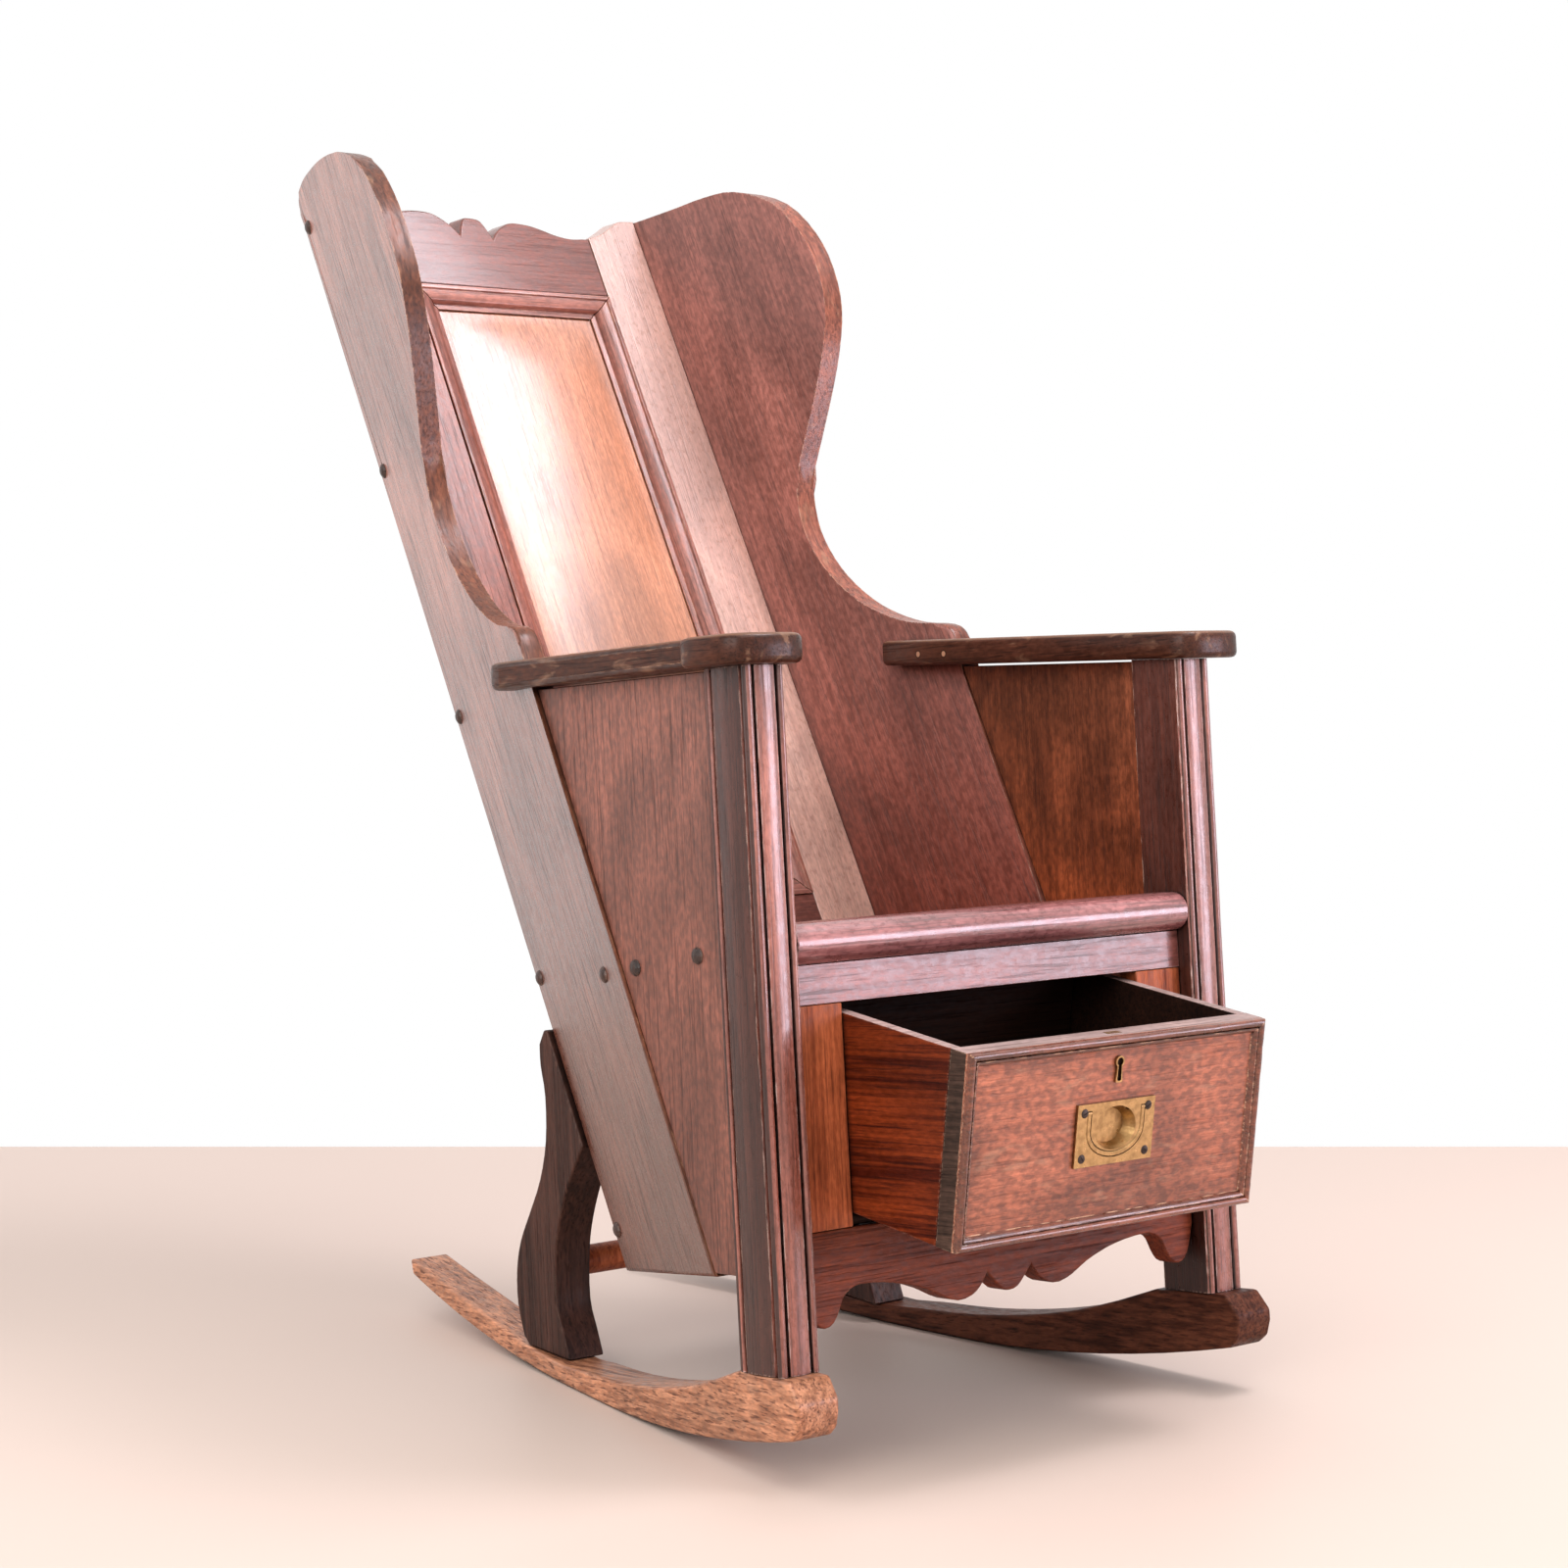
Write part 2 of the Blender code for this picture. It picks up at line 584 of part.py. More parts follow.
def seat_half(y):
    """Half width of the seat at a depth, clear of posts, panels and wing boards."""
    if y < splits[1]:
        return POST_IN - GAP
    if y <= splits[2]:
        return PANEL_OUT - PANEL_THICK - GAP
    low = seat_mid(y) - SEAT_THICK
    high = seat_mid(y) + SEAT_THICK
    cut = WING_THICK / WING_NORMAL.x
    return min(wing_out(y, low), wing_out(y, high)) - cut - GAP


at_seam = min(seat_half(splits[2]), seat_half(splits[2] + 0.0001))
plan = [(POST_IN - GAP, splits[0]), (POST_IN - GAP, splits[1]), (seat_half(splits[2]), splits[1]),
        (at_seam, splits[2]), (seat_half(seat_back), seat_back)]
plan += [(-x, y) for x, y in reversed(plan)]
bm = loft([(x, y, seat_mid(y) - SEAT_THICK / 2) for x, y in plan],
          [(x, y, seat_mid(y) + SEAT_THICK / 2) for x, y in plan])
finish("seat_board", bm, WOOD)


# Framed back, drawn upright and sheared to the rake
def raked(bm):
    for vert in bm.verts:
        vert.co.y += back_face(vert.co.z)
    return bm


def stile_out(depth):
    return WING_BACK + SPLAY * (BACK_AHEAD - depth) - WING_THICK / WING_NORMAL.x - GAP


for side, hand in ((-1, "left"), (1, "right")):
    top = curved([(x, WING_TOP + rise) for x, rise in STILE_RISE[hand]])
    lip = [(x, z) for x, z in top if x < stile_out(BACK_THICK) - END_CLEAR]
    outlines = []
    for depth in (0.0, BACK_THICK):
        out = stile_out(depth)
        ring = [(STILE_EDGE, STILE_LOW)] + lip + [(out, top[-1][1]), (out, STILE_LOW)]
        outlines.append([(x, depth, z) for x, z in ring])
    finish("back_stile_" + hand, mirror(raked(loft(*outlines)), side), WOOD)

span = STILE_EDGE - GAP
wave = [(-x, z) for x, z in reversed(CREST_TOP[1:])] + CREST_TOP
wave = [(x + CREST_SHIFT, z - CREST_TILT * x) for x, z in wave]
wave = [(x, z) for x, z in wave if abs(x) < span - END_CLEAR]
crest = [(-span, CREST_LOW), (-span, wave[0][1])] + wave + [(span, wave[-1][1]), (span, CREST_LOW)]
finish("crest_rail", raked(plank(crest, 0.0, BACK_THICK)), WOOD)
finish("back_bottom_rail", raked(box(-span, span, 0.0, BACK_THICK, BACK_RAIL_LOW, BACK_RAIL_TOP)), WOOD)

# Moulding section: fillet, ovolo and inner fillet, across the strip and forward of its bed
OVOLO = [(0.0, 0.0), (0.0, 1.0), (0.16, 1.0), (0.20, 0.84), (0.42, 0.80), (0.62, 0.64), (0.74, 0.40),
         (0.78, 0.22), (1.0, 0.18), (1.0, 0.0)]


def mitred(length, wide, tall, spot, turn):
    """A strip with mitred ends: its outer edge at the spot, standing forward, turned about Y."""
    points = [(u * wide, h * tall) for u, h in OVOLO]
    left = [(-length / 2 + u + GAP, -h, -u) for u, h in points]
    right = [(length / 2 - u - GAP, -h, -u) for u, h in points]
    return placed(loft(left, right), Matrix.Translation(spot) @ Matrix.Rotation(turn, 4, "Y"))


def moulding_frame(half_wide, low, high, y):
    """Length, position and turn of four strips round an opening."""
    across, tall, centre = 2 * half_wide, high - low, (low + high) / 2
    return {
        "top": (across, (0, y, high), 0.0),
        "bottom": (across, (0, y, low), math.pi),
        "left": (tall, (-half_wide, y, centre), -math.pi / 2),
        "right": (tall, (half_wide, y, centre), math.pi / 2),
    }


bed = MOULD_BED
open_low, open_high = BACK_RAIL_TOP + GAP, CREST_LOW - GAP
open_half = STILE_EDGE - GAP
for place, (length, spot, turn) in moulding_frame(open_half, open_low, open_high, bed).items():
    bm = mitred(length, MOULD_WIDE, MOULD_TALL, spot, turn)
    finish("back_moulding_" + place, raked(bm), WOOD)

# The panel lies behind the mouldings and bows forward a little inside them
sight_x = open_half - MOULD_WIDE - GAP
sight_low, sight_high = open_low + MOULD_WIDE + GAP, open_high - MOULD_WIDE - GAP
xs = [-open_half] + [sight_x * (i - 5) / 5 for i in range(11)] + [open_half]
zs = [open_low] + [sight_low + d for d in (0.0, 0.015, 0.035, 0.065)]
zs += [sight_high - d for d in (0.065, 0.035, 0.015, 0.0)] + [open_high]


def panel_bow(x, z):
    across = max(0.0, 1.0 - (x / sight_x) ** 2)
    near = min(z - sight_low, sight_high - z) / 0.065
    up = min(1.0, max(0.0, near))
    return PANEL_BOW * across * math.sin(up * math.pi / 2)


bm = bmesh.new()
grid = [[bm.verts.new((x, bed + GAP - panel_bow(x, z), z)) for x in xs] for z in zs]
rear = [bm.verts.new((x, bed + GAP + PANEL_BOARD, z)) for x, z in
        ((xs[0], zs[0]), (xs[-1], zs[0]), (xs[-1], zs[-1]), (xs[0], zs[-1]))]
for low, high in zip(grid, grid[1:]):
    for i in range(len(xs) - 1):
        bm.faces.new((low[i], low[i + 1], high[i + 1], high[i]))
bm.faces.new(list(reversed(rear)))
bm.faces.new([rear[0], rear[1]] + list(reversed(grid[0])))
bm.faces.new([rear[2], rear[3]] + grid[-1])
bm.faces.new([rear[1], rear[2]] + [row[-1] for row in reversed(grid)])
bm.faces.new([rear[3], rear[0]] + [row[0] for row in grid])
finish("back_panel", raked(bm), WOOD)

# Rear legs, stretcher and rockers
leg_top = [(back_edge(LEG_TOP) + GAP, LEG_TOP), (back_edge(LEG_TOP) + 0.006, LEG_TOP + 0.002)]
leg_front = LEG_FRONT + [(back_edge(LEG_LEAVES) + GAP, LEG_LEAVES)]
leg_outline = leg_top + curved(LEG_BACK) + LEG_FOOT + curved(leg_front)
for side, hand in ((-1, "left"), (1, "right")):
    inside = [(LEG_OUT - LEG_THICK, y, z) for y, z in leg_outline]
    bm = loft(inside, [(LEG_OUT, y, z) for y, z in leg_outline])
    finish("rear_leg_" + hand, mirror(bm, side), DARK_WOOD)

reach = 2 * (LEG_OUT - LEG_THICK - GAP)
matrix = Matrix.Translation((0, STRETCHER_Y, STRETCHER_Z)) @ Matrix.Rotation(math.pi / 2, 4, "Y")
finish("rear_stretcher", cylinder(STRETCHER_R, reach, matrix, 20), WOOD, smooth=True)


def on_floor(y, z):
    """A point of the square chair frame seen in the floor frame."""
    point = CHAIR @ Vector((0, y, z))
    return (point.y + HOME_Y, point.z)


def sole(y):
    """Height of the rocker's underside."""
    run = y - ROCK_REST
    if abs(run) <= ROCK_FLAT:
        return 0.0
    radius = ROCK_R_BACK if run > 0 else ROCK_R_FRONT
    return (abs(run) - ROCK_FLAT) ** 2 / (2 * radius)


seat_post = [on_floor(y, -GAP) for y in (POST_FRONT - 0.014, POST_FRONT + POST_DEEP + 0.006)]
(back_y, back_z), (fore_y, fore_z) = LEG_FOOT
slope = (back_z - fore_z) / (back_y - fore_y)
seat_leg = [on_floor(y, fore_z + slope * (y - fore_y) - GAP) for y in (fore_y - 0.006, back_y + 0.010)]
upper = ROCK_TOP_FRONT + seat_post + curved(ROCK_TOP_MID) + seat_leg + curved(ROCK_TOP_BACK, 2)
lower = [(ROCK_TIP, sole(ROCK_TIP))]
for i in range(13):
    y = ROCK_TIP - 0.02 - (ROCK_TIP - 0.02 - ROCK_REST - ROCK_FLAT) * i / 12
    lower.append((y, sole(y)))
for i in range(10):
    y = ROCK_REST - ROCK_FLAT - (ROCK_REST - ROCK_FLAT + 0.056) * i / 9
    lower.append((y, sole(y)))
lower.append((-0.064, sole(-0.062) + 0.006))
rocker_outline = upper + lower
for side, hand in ((-1, "left"), (1, "right")):
    out = [(ROCK_OUT - ROCK_TOE * (y - ROCK_TOE_FROM), y, z) for y, z in rocker_outline]
    bm = loft([(x - ROCK_WIDE, y, z) for x, y, z in out], out)
    finish("rocker_" + hand, mirror(bm, side), WOOD if side < 0 else DARK_WOOD, FLOOR)

# Drawer runners and the round bearer under the drawer
for side, hand in ((-1, "left"), (1, "right")):
    y0 = FRAME_FRONT + FRAME_THICK + GAP
    bm = box(STILE_IN - RUNNER_WIDE, STILE_IN + 0.010, y0, y0 + RUNNER_LONG, DRAWER_LOW - GAP - RUNNER_TALL,
             DRAWER_LOW - GAP)
    finish("drawer_runner_" + hand, mirror(bm, side), DARK_WOOD)
matrix = Matrix.Translation(PIVOT) @ Matrix.Rotation(math.pi / 2, 4, "Y")
bearer_spot = CHAIR @ PIVOT
finish("drawer_bearer", cylinder(BEARER_R, 2 * (STILE_IN - GAP), matrix, 16), DARK_WOOD, origin=bearer_spot,
       smooth=True)

# Drawer box
wide = STILE_IN - SLIDE_GAP
y0 = FRAME_FRONT
y1 = y0 + DRAWER_FRONT
y2 = y0 + DRAWER_DEEP
z0 = DRAWER_LOW
z1 = z0 + DRAWER_TALL
drawer_spot = DRAWER @ Vector((0, y0, z0))
for side, hand in ((-1, "left"), (1, "right")):
    bm = box(wide - DRAWER_SIDE, wide, y1 + GAP, y2, z0, z1)
    finish("drawer_side_" + hand, mirror(bm, side), WOOD, DRAWER, drawer_spot)
inner = wide - DRAWER_SIDE - GAP
bed_z = z0 + DRAWER_BED
finish("drawer_back", box(-inner, inner, y2 - DRAWER_SIDE, y2, z0, z1), DARK_WOOD, DRAWER, drawer_spot)
finish("drawer_bottom", box(-inner, inner, y1 + GAP, y2 - DRAWER_SIDE - GAP, bed_z, bed_z + DRAWER_BOTTOM),
       DARK_WOOD, DRAWER, drawer_spot)

# Applied mouldings round the drawer front
face = y0 - GAP
for place, (length, spot, turn) in moulding_frame(wide, z0, z1, face).items():
    bm = mitred(length, EDGE_WIDE, EDGE_TALL, spot, turn)
    finish("drawer_moulding_" + place, bm, WOOD, DRAWER, drawer_spot)

# Flush handle: plate with a cup let into the drawer front, and a bail lying in a groove round the cup
ALONG_X = Matrix.Rotation(math.pi / 2, 4, "Y")
DEPTH = Vector((0, 1, 0))
middle = z1 - HANDLE_DOWN
plate_front = face - PLATE_THICK
bail_y = plate_front + BAIL_THICK / 2 - BAIL_PROUD
pivot_z = middle + BAIL_UP


def oval(half_x, half_z, centre_z, count):
    turns = [2 * math.pi * i / count for i in range(count)]
    return [(half_x * math.cos(t), centre_z + half_z * math.sin(t)) for t in turns]


def swept(path, section):
    """A bar of that section bent along a path in the X and Z plane."""
    bm = bmesh.new()
    rings = []
    for i, point in enumerate(path):
        ahead = path[min(i + 1, len(path) - 1)] - path[max(i - 1, 0)]
        across = DEPTH.cross(ahead.normalized())
        rings.append([bm.verts.new(point + u * across + v * DEPTH) for u, v in section])
    bm.faces.new(rings[0])
    bm.faces.new(list(reversed(rings[-1])))
    for first, second in zip(rings, rings[1:]):
        for k in range(len(section)):
            bm.faces.new((first[k], first[k - 1], second[k - 1], second[k]))
    return bm


bend = BAIL_DROP - BAIL_LEG
turns = [math.pi * i / 16 for i in range(17)]
bail_path = [Vector((-BAIL_HALF, bail_y, pivot_z))]
for turn in turns:
    below = BAIL_LEG + bend * math.sin(turn)
    bail_path.append(Vector((-BAIL_HALF * math.cos(turn), bail_y, pivot_z - below)))
bail_path.append(Vector((BAIL_HALF, bail_y, pivot_z)))
half_wide, half_thick, nip = BAIL_WIDE / 2, BAIL_THICK / 2, BAIL_ROUND
corner = [(half_wide, half_thick - nip), (half_wide - nip, half_thick)]
bar = corner + [(-u, v) for u, v in reversed(corner)]
bar += [(-u, -v) for u, v in corner] + [(u, -v) for u, v in reversed(corner)]

# Plate, boss behind it, groove, cup and pin holes
pin_end = BAIL_HALF + half_wide + PIN_LONG
boss_wide = pin_end + GAP + BOSS_WALL / 2
boss_top = pivot_z + half_thick + BAIL_ROOM + BOSS_WALL
boss_low = pivot_z - BAIL_DROP - half_wide - BAIL_ROOM - BOSS_WALL
boss_back = face + CUP_DEEP + BOSS_WALL
plate = box(-PLATE_WIDE / 2, PLATE_WIDE / 2, plate_front, face, middle - PLATE_TALL / 2,
            middle + PLATE_TALL / 2)
boss = box(-boss_wide, boss_wide, face - PLATE_THICK / 2, boss_back, boss_low, boss_top)
plate = combine(plate, [boss], "UNION")
lift = Vector((0, 0, half_thick + BAIL_ROOM))
groove_path = [bail_path[0] + lift] + bail_path[1:-1] + [bail_path[-1] + lift]
groove_half = half_wide + BAIL_ROOM
groove_out, groove_in = -half_thick - PLATE_THICK, half_thick + BAIL_ROOM
groove = [(groove_half, groove_in), (-groove_half, groove_in)]
groove += [(-groove_half, groove_out), (groove_half, groove_out)]
cup_z = middle + CUP_UP
mouth = oval(CUP_HALF_WIDE, CUP_HALF_TALL, cup_z, 40)
floor = oval(CUP_HALF_WIDE * CUP_TAPER, CUP_HALF_TALL * CUP_TAPER, cup_z, 40)
cup = loft([(x, plate_front - GAP, z) for x, z in mouth], [(x, face + CUP_DEEP, z) for x, z in floor])
pivot = Matrix.Translation((0, bail_y, pivot_z))
pin_hole = cylinder(PIN_R + PIN_GAP, 2 * (pin_end + GAP), pivot @ ALONG_X, 16)
plate = combine(plate, [cup, swept(groove_path, groove), pin_hole], "DIFFERENCE")
finish("handle_plate", plate, BRASS, DRAWER, drawer_spot, metal=1.0)

# Drawer front with the boss's socket and the lock's slot
slot_low = z1 - BOLT_LONG - GAP
slot = box(-BOLT_WIDE / 2 - GAP, BOLT_WIDE / 2 + GAP, lock_y - BOLT_THICK / 2 - GAP,
           lock_y + BOLT_THICK / 2 + GAP, slot_low, z1 + 0.01)
socket = box(-boss_wide - GAP, boss_wide + GAP, face - 0.002, boss_back + GAP, boss_low - GAP, boss_top + GAP)
board = combine(box(-wide, wide, y0, y1, z0, z1), [socket, slot], "DIFFERENCE")
finish("drawer_front", board, WOOD, DRAWER, drawer_spot)

# Bail with rounded ends and a short pin at each end
ends = []
for side in (-1, 1):
    eye = Matrix.Translation((side * BAIL_HALF, bail_y, pivot_z))
    ends.append(cylinder(half_thick, BAIL_WIDE, eye @ ALONG_X, 16))
    start = BAIL_HALF + half_wide - 0.001
    pin_mid = Matrix.Translation((side * (start + pin_end) / 2, bail_y, pivot_z))
    ends.append(cylinder(PIN_R, pin_end - start, pin_mid @ ALONG_X, 16))
bail = combine(swept(bail_path, bar), ends, "UNION")
bail_spot = DRAWER @ Vector((0, bail_y, pivot_z))
finish("bail_handle", bail, BRASS, DRAWER, bail_spot, smooth=True, metal=1.0)

# Keyhole plate and lock bolt
key_z = z1 - KEY_DOWN
liner = plank(oval(KEY_WIDE / 2, KEY_TALL / 2, key_z, 16), face - KEY_THICK, face)
eye = plank(oval(0.0018, 0.0024, key_z + 0.004, 10), face - 0.01, face + 0.01)
slit = box(-0.0009, 0.0009, face - 0.01, face + 0.01, key_z - 0.007, key_z + 0.004)
liner = combine(liner, [eye, slit], "DIFFERENCE")
finish("keyhole_plate", liner, BRASS, DRAWER, drawer_spot, metal=1.0)

bolt_spot = DRAWER @ Vector((0, lock_y, z1))
bm = box(-BOLT_WIDE / 2, BOLT_WIDE / 2, lock_y - BOLT_THICK / 2, lock_y + BOLT_THICK / 2,
         slot_low + GAP, z1)
finish("lock_bolt", bm, BRASS, DRAWER, bolt_spot, metal=1.0)
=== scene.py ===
# %% [markdown]
# # A lambing chair on rockers
# The chair is a high-winged wooden armchair with a drawer under its seat, later put on rockers.
# Its boards are already cut, joined and hinged in the imported part, so this lesson dresses them.
# Each board gets softened arrises, old polish, grain along its length, the marks of long use, and
# painted shade in its corners.

import json
import math

import bmesh
import bpy
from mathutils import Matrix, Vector, noise


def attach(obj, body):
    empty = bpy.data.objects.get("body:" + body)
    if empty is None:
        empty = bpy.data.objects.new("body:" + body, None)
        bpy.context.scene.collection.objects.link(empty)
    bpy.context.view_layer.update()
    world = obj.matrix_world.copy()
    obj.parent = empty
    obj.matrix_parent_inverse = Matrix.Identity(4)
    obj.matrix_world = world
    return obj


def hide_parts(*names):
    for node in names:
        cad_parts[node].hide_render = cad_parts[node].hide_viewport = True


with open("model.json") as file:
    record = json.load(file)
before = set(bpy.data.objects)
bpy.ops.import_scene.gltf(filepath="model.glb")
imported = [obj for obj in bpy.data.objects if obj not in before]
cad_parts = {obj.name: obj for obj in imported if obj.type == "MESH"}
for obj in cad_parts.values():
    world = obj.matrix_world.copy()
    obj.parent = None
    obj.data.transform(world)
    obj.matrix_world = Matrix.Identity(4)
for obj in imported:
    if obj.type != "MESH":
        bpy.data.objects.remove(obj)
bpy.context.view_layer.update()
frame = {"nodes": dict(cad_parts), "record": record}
nodes = frame["nodes"]
scene = bpy.context.scene

# %% [markdown]
# ## Where the camera stands
# The photograph was taken from the chair's left front, at about the height of the arms.
# A camera is aimed with a rotation made from a heading and a small downward tilt.
# A 72 mm lens from under three metres away keeps the same perspective on posts and rockers.

# %% Camera
HEADING = math.radians(38.58)
DOWNWARD = math.radians(3.45)
CAMERA_PLACE = Vector((-1.845, -2.3606, 0.730))

ahead = Vector((
    math.sin(HEADING) * math.cos(DOWNWARD),
    math.cos(HEADING) * math.cos(DOWNWARD),
    -math.sin(DOWNWARD),
))
camera_data = bpy.data.cameras.new("photo_camera")
camera_data.sensor_width = 36.0
camera_data.lens = 72.0
camera = bpy.data.objects.new("photo_camera", camera_data)
camera.location = CAMERA_PLACE
camera.rotation_euler = ahead.to_track_quat("-Z", "Y").to_euler()
scene.collection.objects.link(camera)
scene.camera = camera
print("camera looks along", [round(c, 3) for c in ahead])

# %% [markdown]
# ## The floor
# The chair stands on a pale floor that ends in plain white behind it.
# A curved backdrop would hide that end, but the photograph shows it as a line, so one flat sheet
# is laid square to the camera and stops there. It only has to hold the shadow.

# %% Floor
FLOOR_COLOUR = (0.61, 0.50, 0.425)
FLOOR_REACH = 4.12          # how far from the camera the floor ends and the white begins
FLOOR_BEHIND = -6.0         # how far it runs on behind the camera
FLOOR_SIDE = 9.0            # and to either side


def graph(name):
    """A new material, its node tree and its principled shader."""
    material = bpy.data.materials.new(name)
    material.use_nodes = True
    tree = material.node_tree
    return material, tree, tree.nodes["Principled BSDF"]


floor_look, floor_tree, floor_shader = graph("pale_floor")
floor_shader.inputs["Base Color"].default_value = (*FLOOR_COLOUR, 1.0)
floor_shader.inputs["Roughness"].default_value = 0.55

level_ahead = Vector((math.sin(HEADING), math.cos(HEADING), 0.0))
level_right = Vector((math.cos(HEADING), -math.sin(HEADING), 0.0))
stand = Vector((CAMERA_PLACE.x, CAMERA_PLACE.y, 0.0))
corners = []
for along, across in ((FLOOR_BEHIND, -FLOOR_SIDE), (FLOOR_BEHIND, FLOOR_SIDE),
                      (FLOOR_REACH, FLOOR_SIDE), (FLOOR_REACH, -FLOOR_SIDE)):
    corners.append(stand + level_ahead * along + level_right * across)
floor_mesh = bpy.data.meshes.new("floor")
floor_mesh.from_pydata(corners, [], [(0, 1, 2, 3)])
floor_mesh.materials.append(floor_look)
floor = bpy.data.objects.new("floor", floor_mesh)
scene.collection.objects.link(floor)
print("floor ends", FLOOR_REACH, "m from the camera")

# %% [markdown]
# ## Helpers for node trees
# The world, the wood and the brass are all built from small nodes. Wiring each by hand takes
# three lines, so these helpers add a node, set its inputs or link them, and give back the result.

# %% Small helpers for node trees


def add(tree, kind, values=None, **settings):
    """Adds a node; values may be numbers, colours or sockets of other nodes."""
    made = tree.nodes.new(kind)
    for key, value in settings.items():
        setattr(made, key, value)
    for key, value in (values or {}).items():
        socket = made.inputs[key]
        if isinstance(value, bpy.types.NodeSocket):
            tree.links.new(value, socket)
        else:
            socket.default_value = value
    return made


def arith(tree, how, a, b=0.0, clamp=False):
    """One sum with two numbers or sockets."""
    made = add(tree, "ShaderNodeMath", {0: a, 1: b}, operation=how)
    made.use_clamp = clamp
    return made.outputs[0]


def spread(tree, value, low, high, to_low=0.0, to_high=1.0):
    """Stretches a value from one range to another, smoothly and clamped."""
    made = add(tree, "ShaderNodeMapRange", {
        "Value": value, "From Min": low, "From Max": high, "To Min": to_low, "To Max": to_high,
    }, interpolation_type="SMOOTHSTEP")
    return made.outputs["Result"]


print("helpers ready: add, arith and spread")

# %% [markdown]
# ## The white room
# The room has bright walls behind and to the left of the chair and is dimmer before it.
# A picture of a room could light it, but a brightness that fades with direction needs no file.
# The camera, polish and brass see plain white; only the soft light on the boards has the fade.

# %% World
WALL_SIDE = Vector((-0.6, 0.8, 0.0))   # the bright white walls are behind and to the left
BEHIND = 1.55               # brightness of those walls
BEFORE = 0.42               # brightness of the dim room before the chair
FADE_START, FADE_END = -0.35, 0.55     # how squarely a ray faces the walls, from dim to bright
ROOM_TINT = (1.0, 0.955, 0.985, 1.0)

world = bpy.data.worlds.new("white_room")
world.use_nodes = True
scene.world = world
sky = world.node_tree
toward = add(sky, "ShaderNodeTexCoord").outputs["Generated"]
facing = add(sky, "ShaderNodeVectorMath", {0: toward, 1: WALL_SIDE}, operation="DOT_PRODUCT")
fade = spread(sky, facing.outputs["Value"], FADE_START, FADE_END, BEFORE, BEHIND)
room = sky.nodes["Background"]
room.inputs["Color"].default_value = ROOM_TINT
sky.links.new(fade, room.inputs["Strength"])
white = add(sky, "ShaderNodeBackground", {"Color": (1.0, 1.0, 1.0, 1.0)})
rays = add(sky, "ShaderNodeLightPath").outputs
straight = arith(sky, "MAXIMUM", rays["Is Camera Ray"], rays["Is Glossy Ray"])
straight = arith(sky, "MAXIMUM", straight, rays["Is Transmission Ray"])
choose = add(sky, "ShaderNodeMixShader", {
    "Fac": straight, 1: room.outputs["Background"], 2: white.outputs["Background"],
})
sky.links.new(choose.outputs["Shader"], sky.nodes["World Output"].inputs["Surface"])
print("white walls at", BEHIND, "and a dim room at", BEFORE)

# %% [markdown]
# ## Soft lamps
# Old polish shows itself by its glare, so the lamps are large panels set where the boards mirror
# them: one window for the back, a low one for the seat's edge and the drawer. A ceiling and a lit
# room to the left fill the rest. Small lamps would leave hard spots instead.

# %% Lamps


def panel_lamp(name, place, target, size, power, colour):
    """A large soft panel that shines from one place towards another."""
    data = bpy.data.lights.new(name, "AREA")
    data.shape = "RECTANGLE"
    data.size, data.size_y = size
    data.energy = power
    data.color = colour
    lamp = bpy.data.objects.new(name, data)
    lamp.location = place
    lamp.rotation_euler = (Vector(target) - Vector(place)).to_track_quat("-Z", "Y").to_euler()
    scene.collection.objects.link(lamp)


panel_lamp("window", (1.00, -0.84, 3.13), (0.0, 0.30, 0.90), (1.05, 0.90), 42.0, (0.97, 0.92, 1.0))
panel_lamp("low_window", (2.05, -2.62, 0.78), (0.0, -0.35, 0.45), (1.40, 1.10), 44.0, (0.95, 0.84, 1.0))
panel_lamp("ceiling", (0.15, -1.35, 3.10), (0.0, 0.10, 0.60), (2.60, 2.20), 50.0, (1.0, 0.96, 0.94))
panel_lamp("left_room", (-3.0, -1.9, 2.1), (0.0, 0.0, 0.60), (2.4, 2.0), 66.0, (1.0, 0.97, 0.95))
print("two windows, a ceiling and a lit room to the left")

# %% [markdown]
# ## Old wood
# Every board shares one recipe: broad figure, fine fibres and dark pores, all drawn out along
# the board, then patches of patina, rubbed edges, and dirt with painted shade in the corners.
# A photo of wood would not follow the boards round their edges, so the recipe is built from
# noise in the chair's own space. This list is what a finish may change in it.

# %% What a finish may change
PLAIN_LOOK = dict(
    rough=0.44,             # roughness of the polish
    coat=0.05,              # weight of the wax over it
    coat_rough=0.16,        # roughness of the wax
    shine=0.5,              # strength of the polish's own gloss
    figure=0.6,             # contrast of the broad grain
    patchy=1.0,             # contrast of the large stains
    mottle=0.5,             # contrast of the small clouds
    rub=0.5,                # how much the edges are rubbed
    grime=0.9,              # how dark the corners are
    reach=0.011,            # how far the dirt and painted shade spread out of a corner
    open_grain=0.7,         # darkness of the pores
    worn_through=0.0,       # how far the polish has gone in patches
    worn_top=0.0,           # how far the upper faces are rubbed bare, and lightened as painted light
    plugs=(),               # places of small round plugs or holes
    foot=(1.0, 1.0, 1.0),   # tint of a board's lower part: painted shade on the grey wing side, painted light on the right stile
    seed=0.0,               # moves the pattern so that no two boards match
)
print("a finish has", len(PLAIN_LOOK), "settings")

# %% [markdown]
# ## Grain
# Wood is a bundle of fibres, so its pattern is long one way and fine the other.
# Noise that is squeezed across the board gives that at every size, from broad figure to pores.
# A Wave texture would give rings too, but they look too even for hand-sawn old boards.

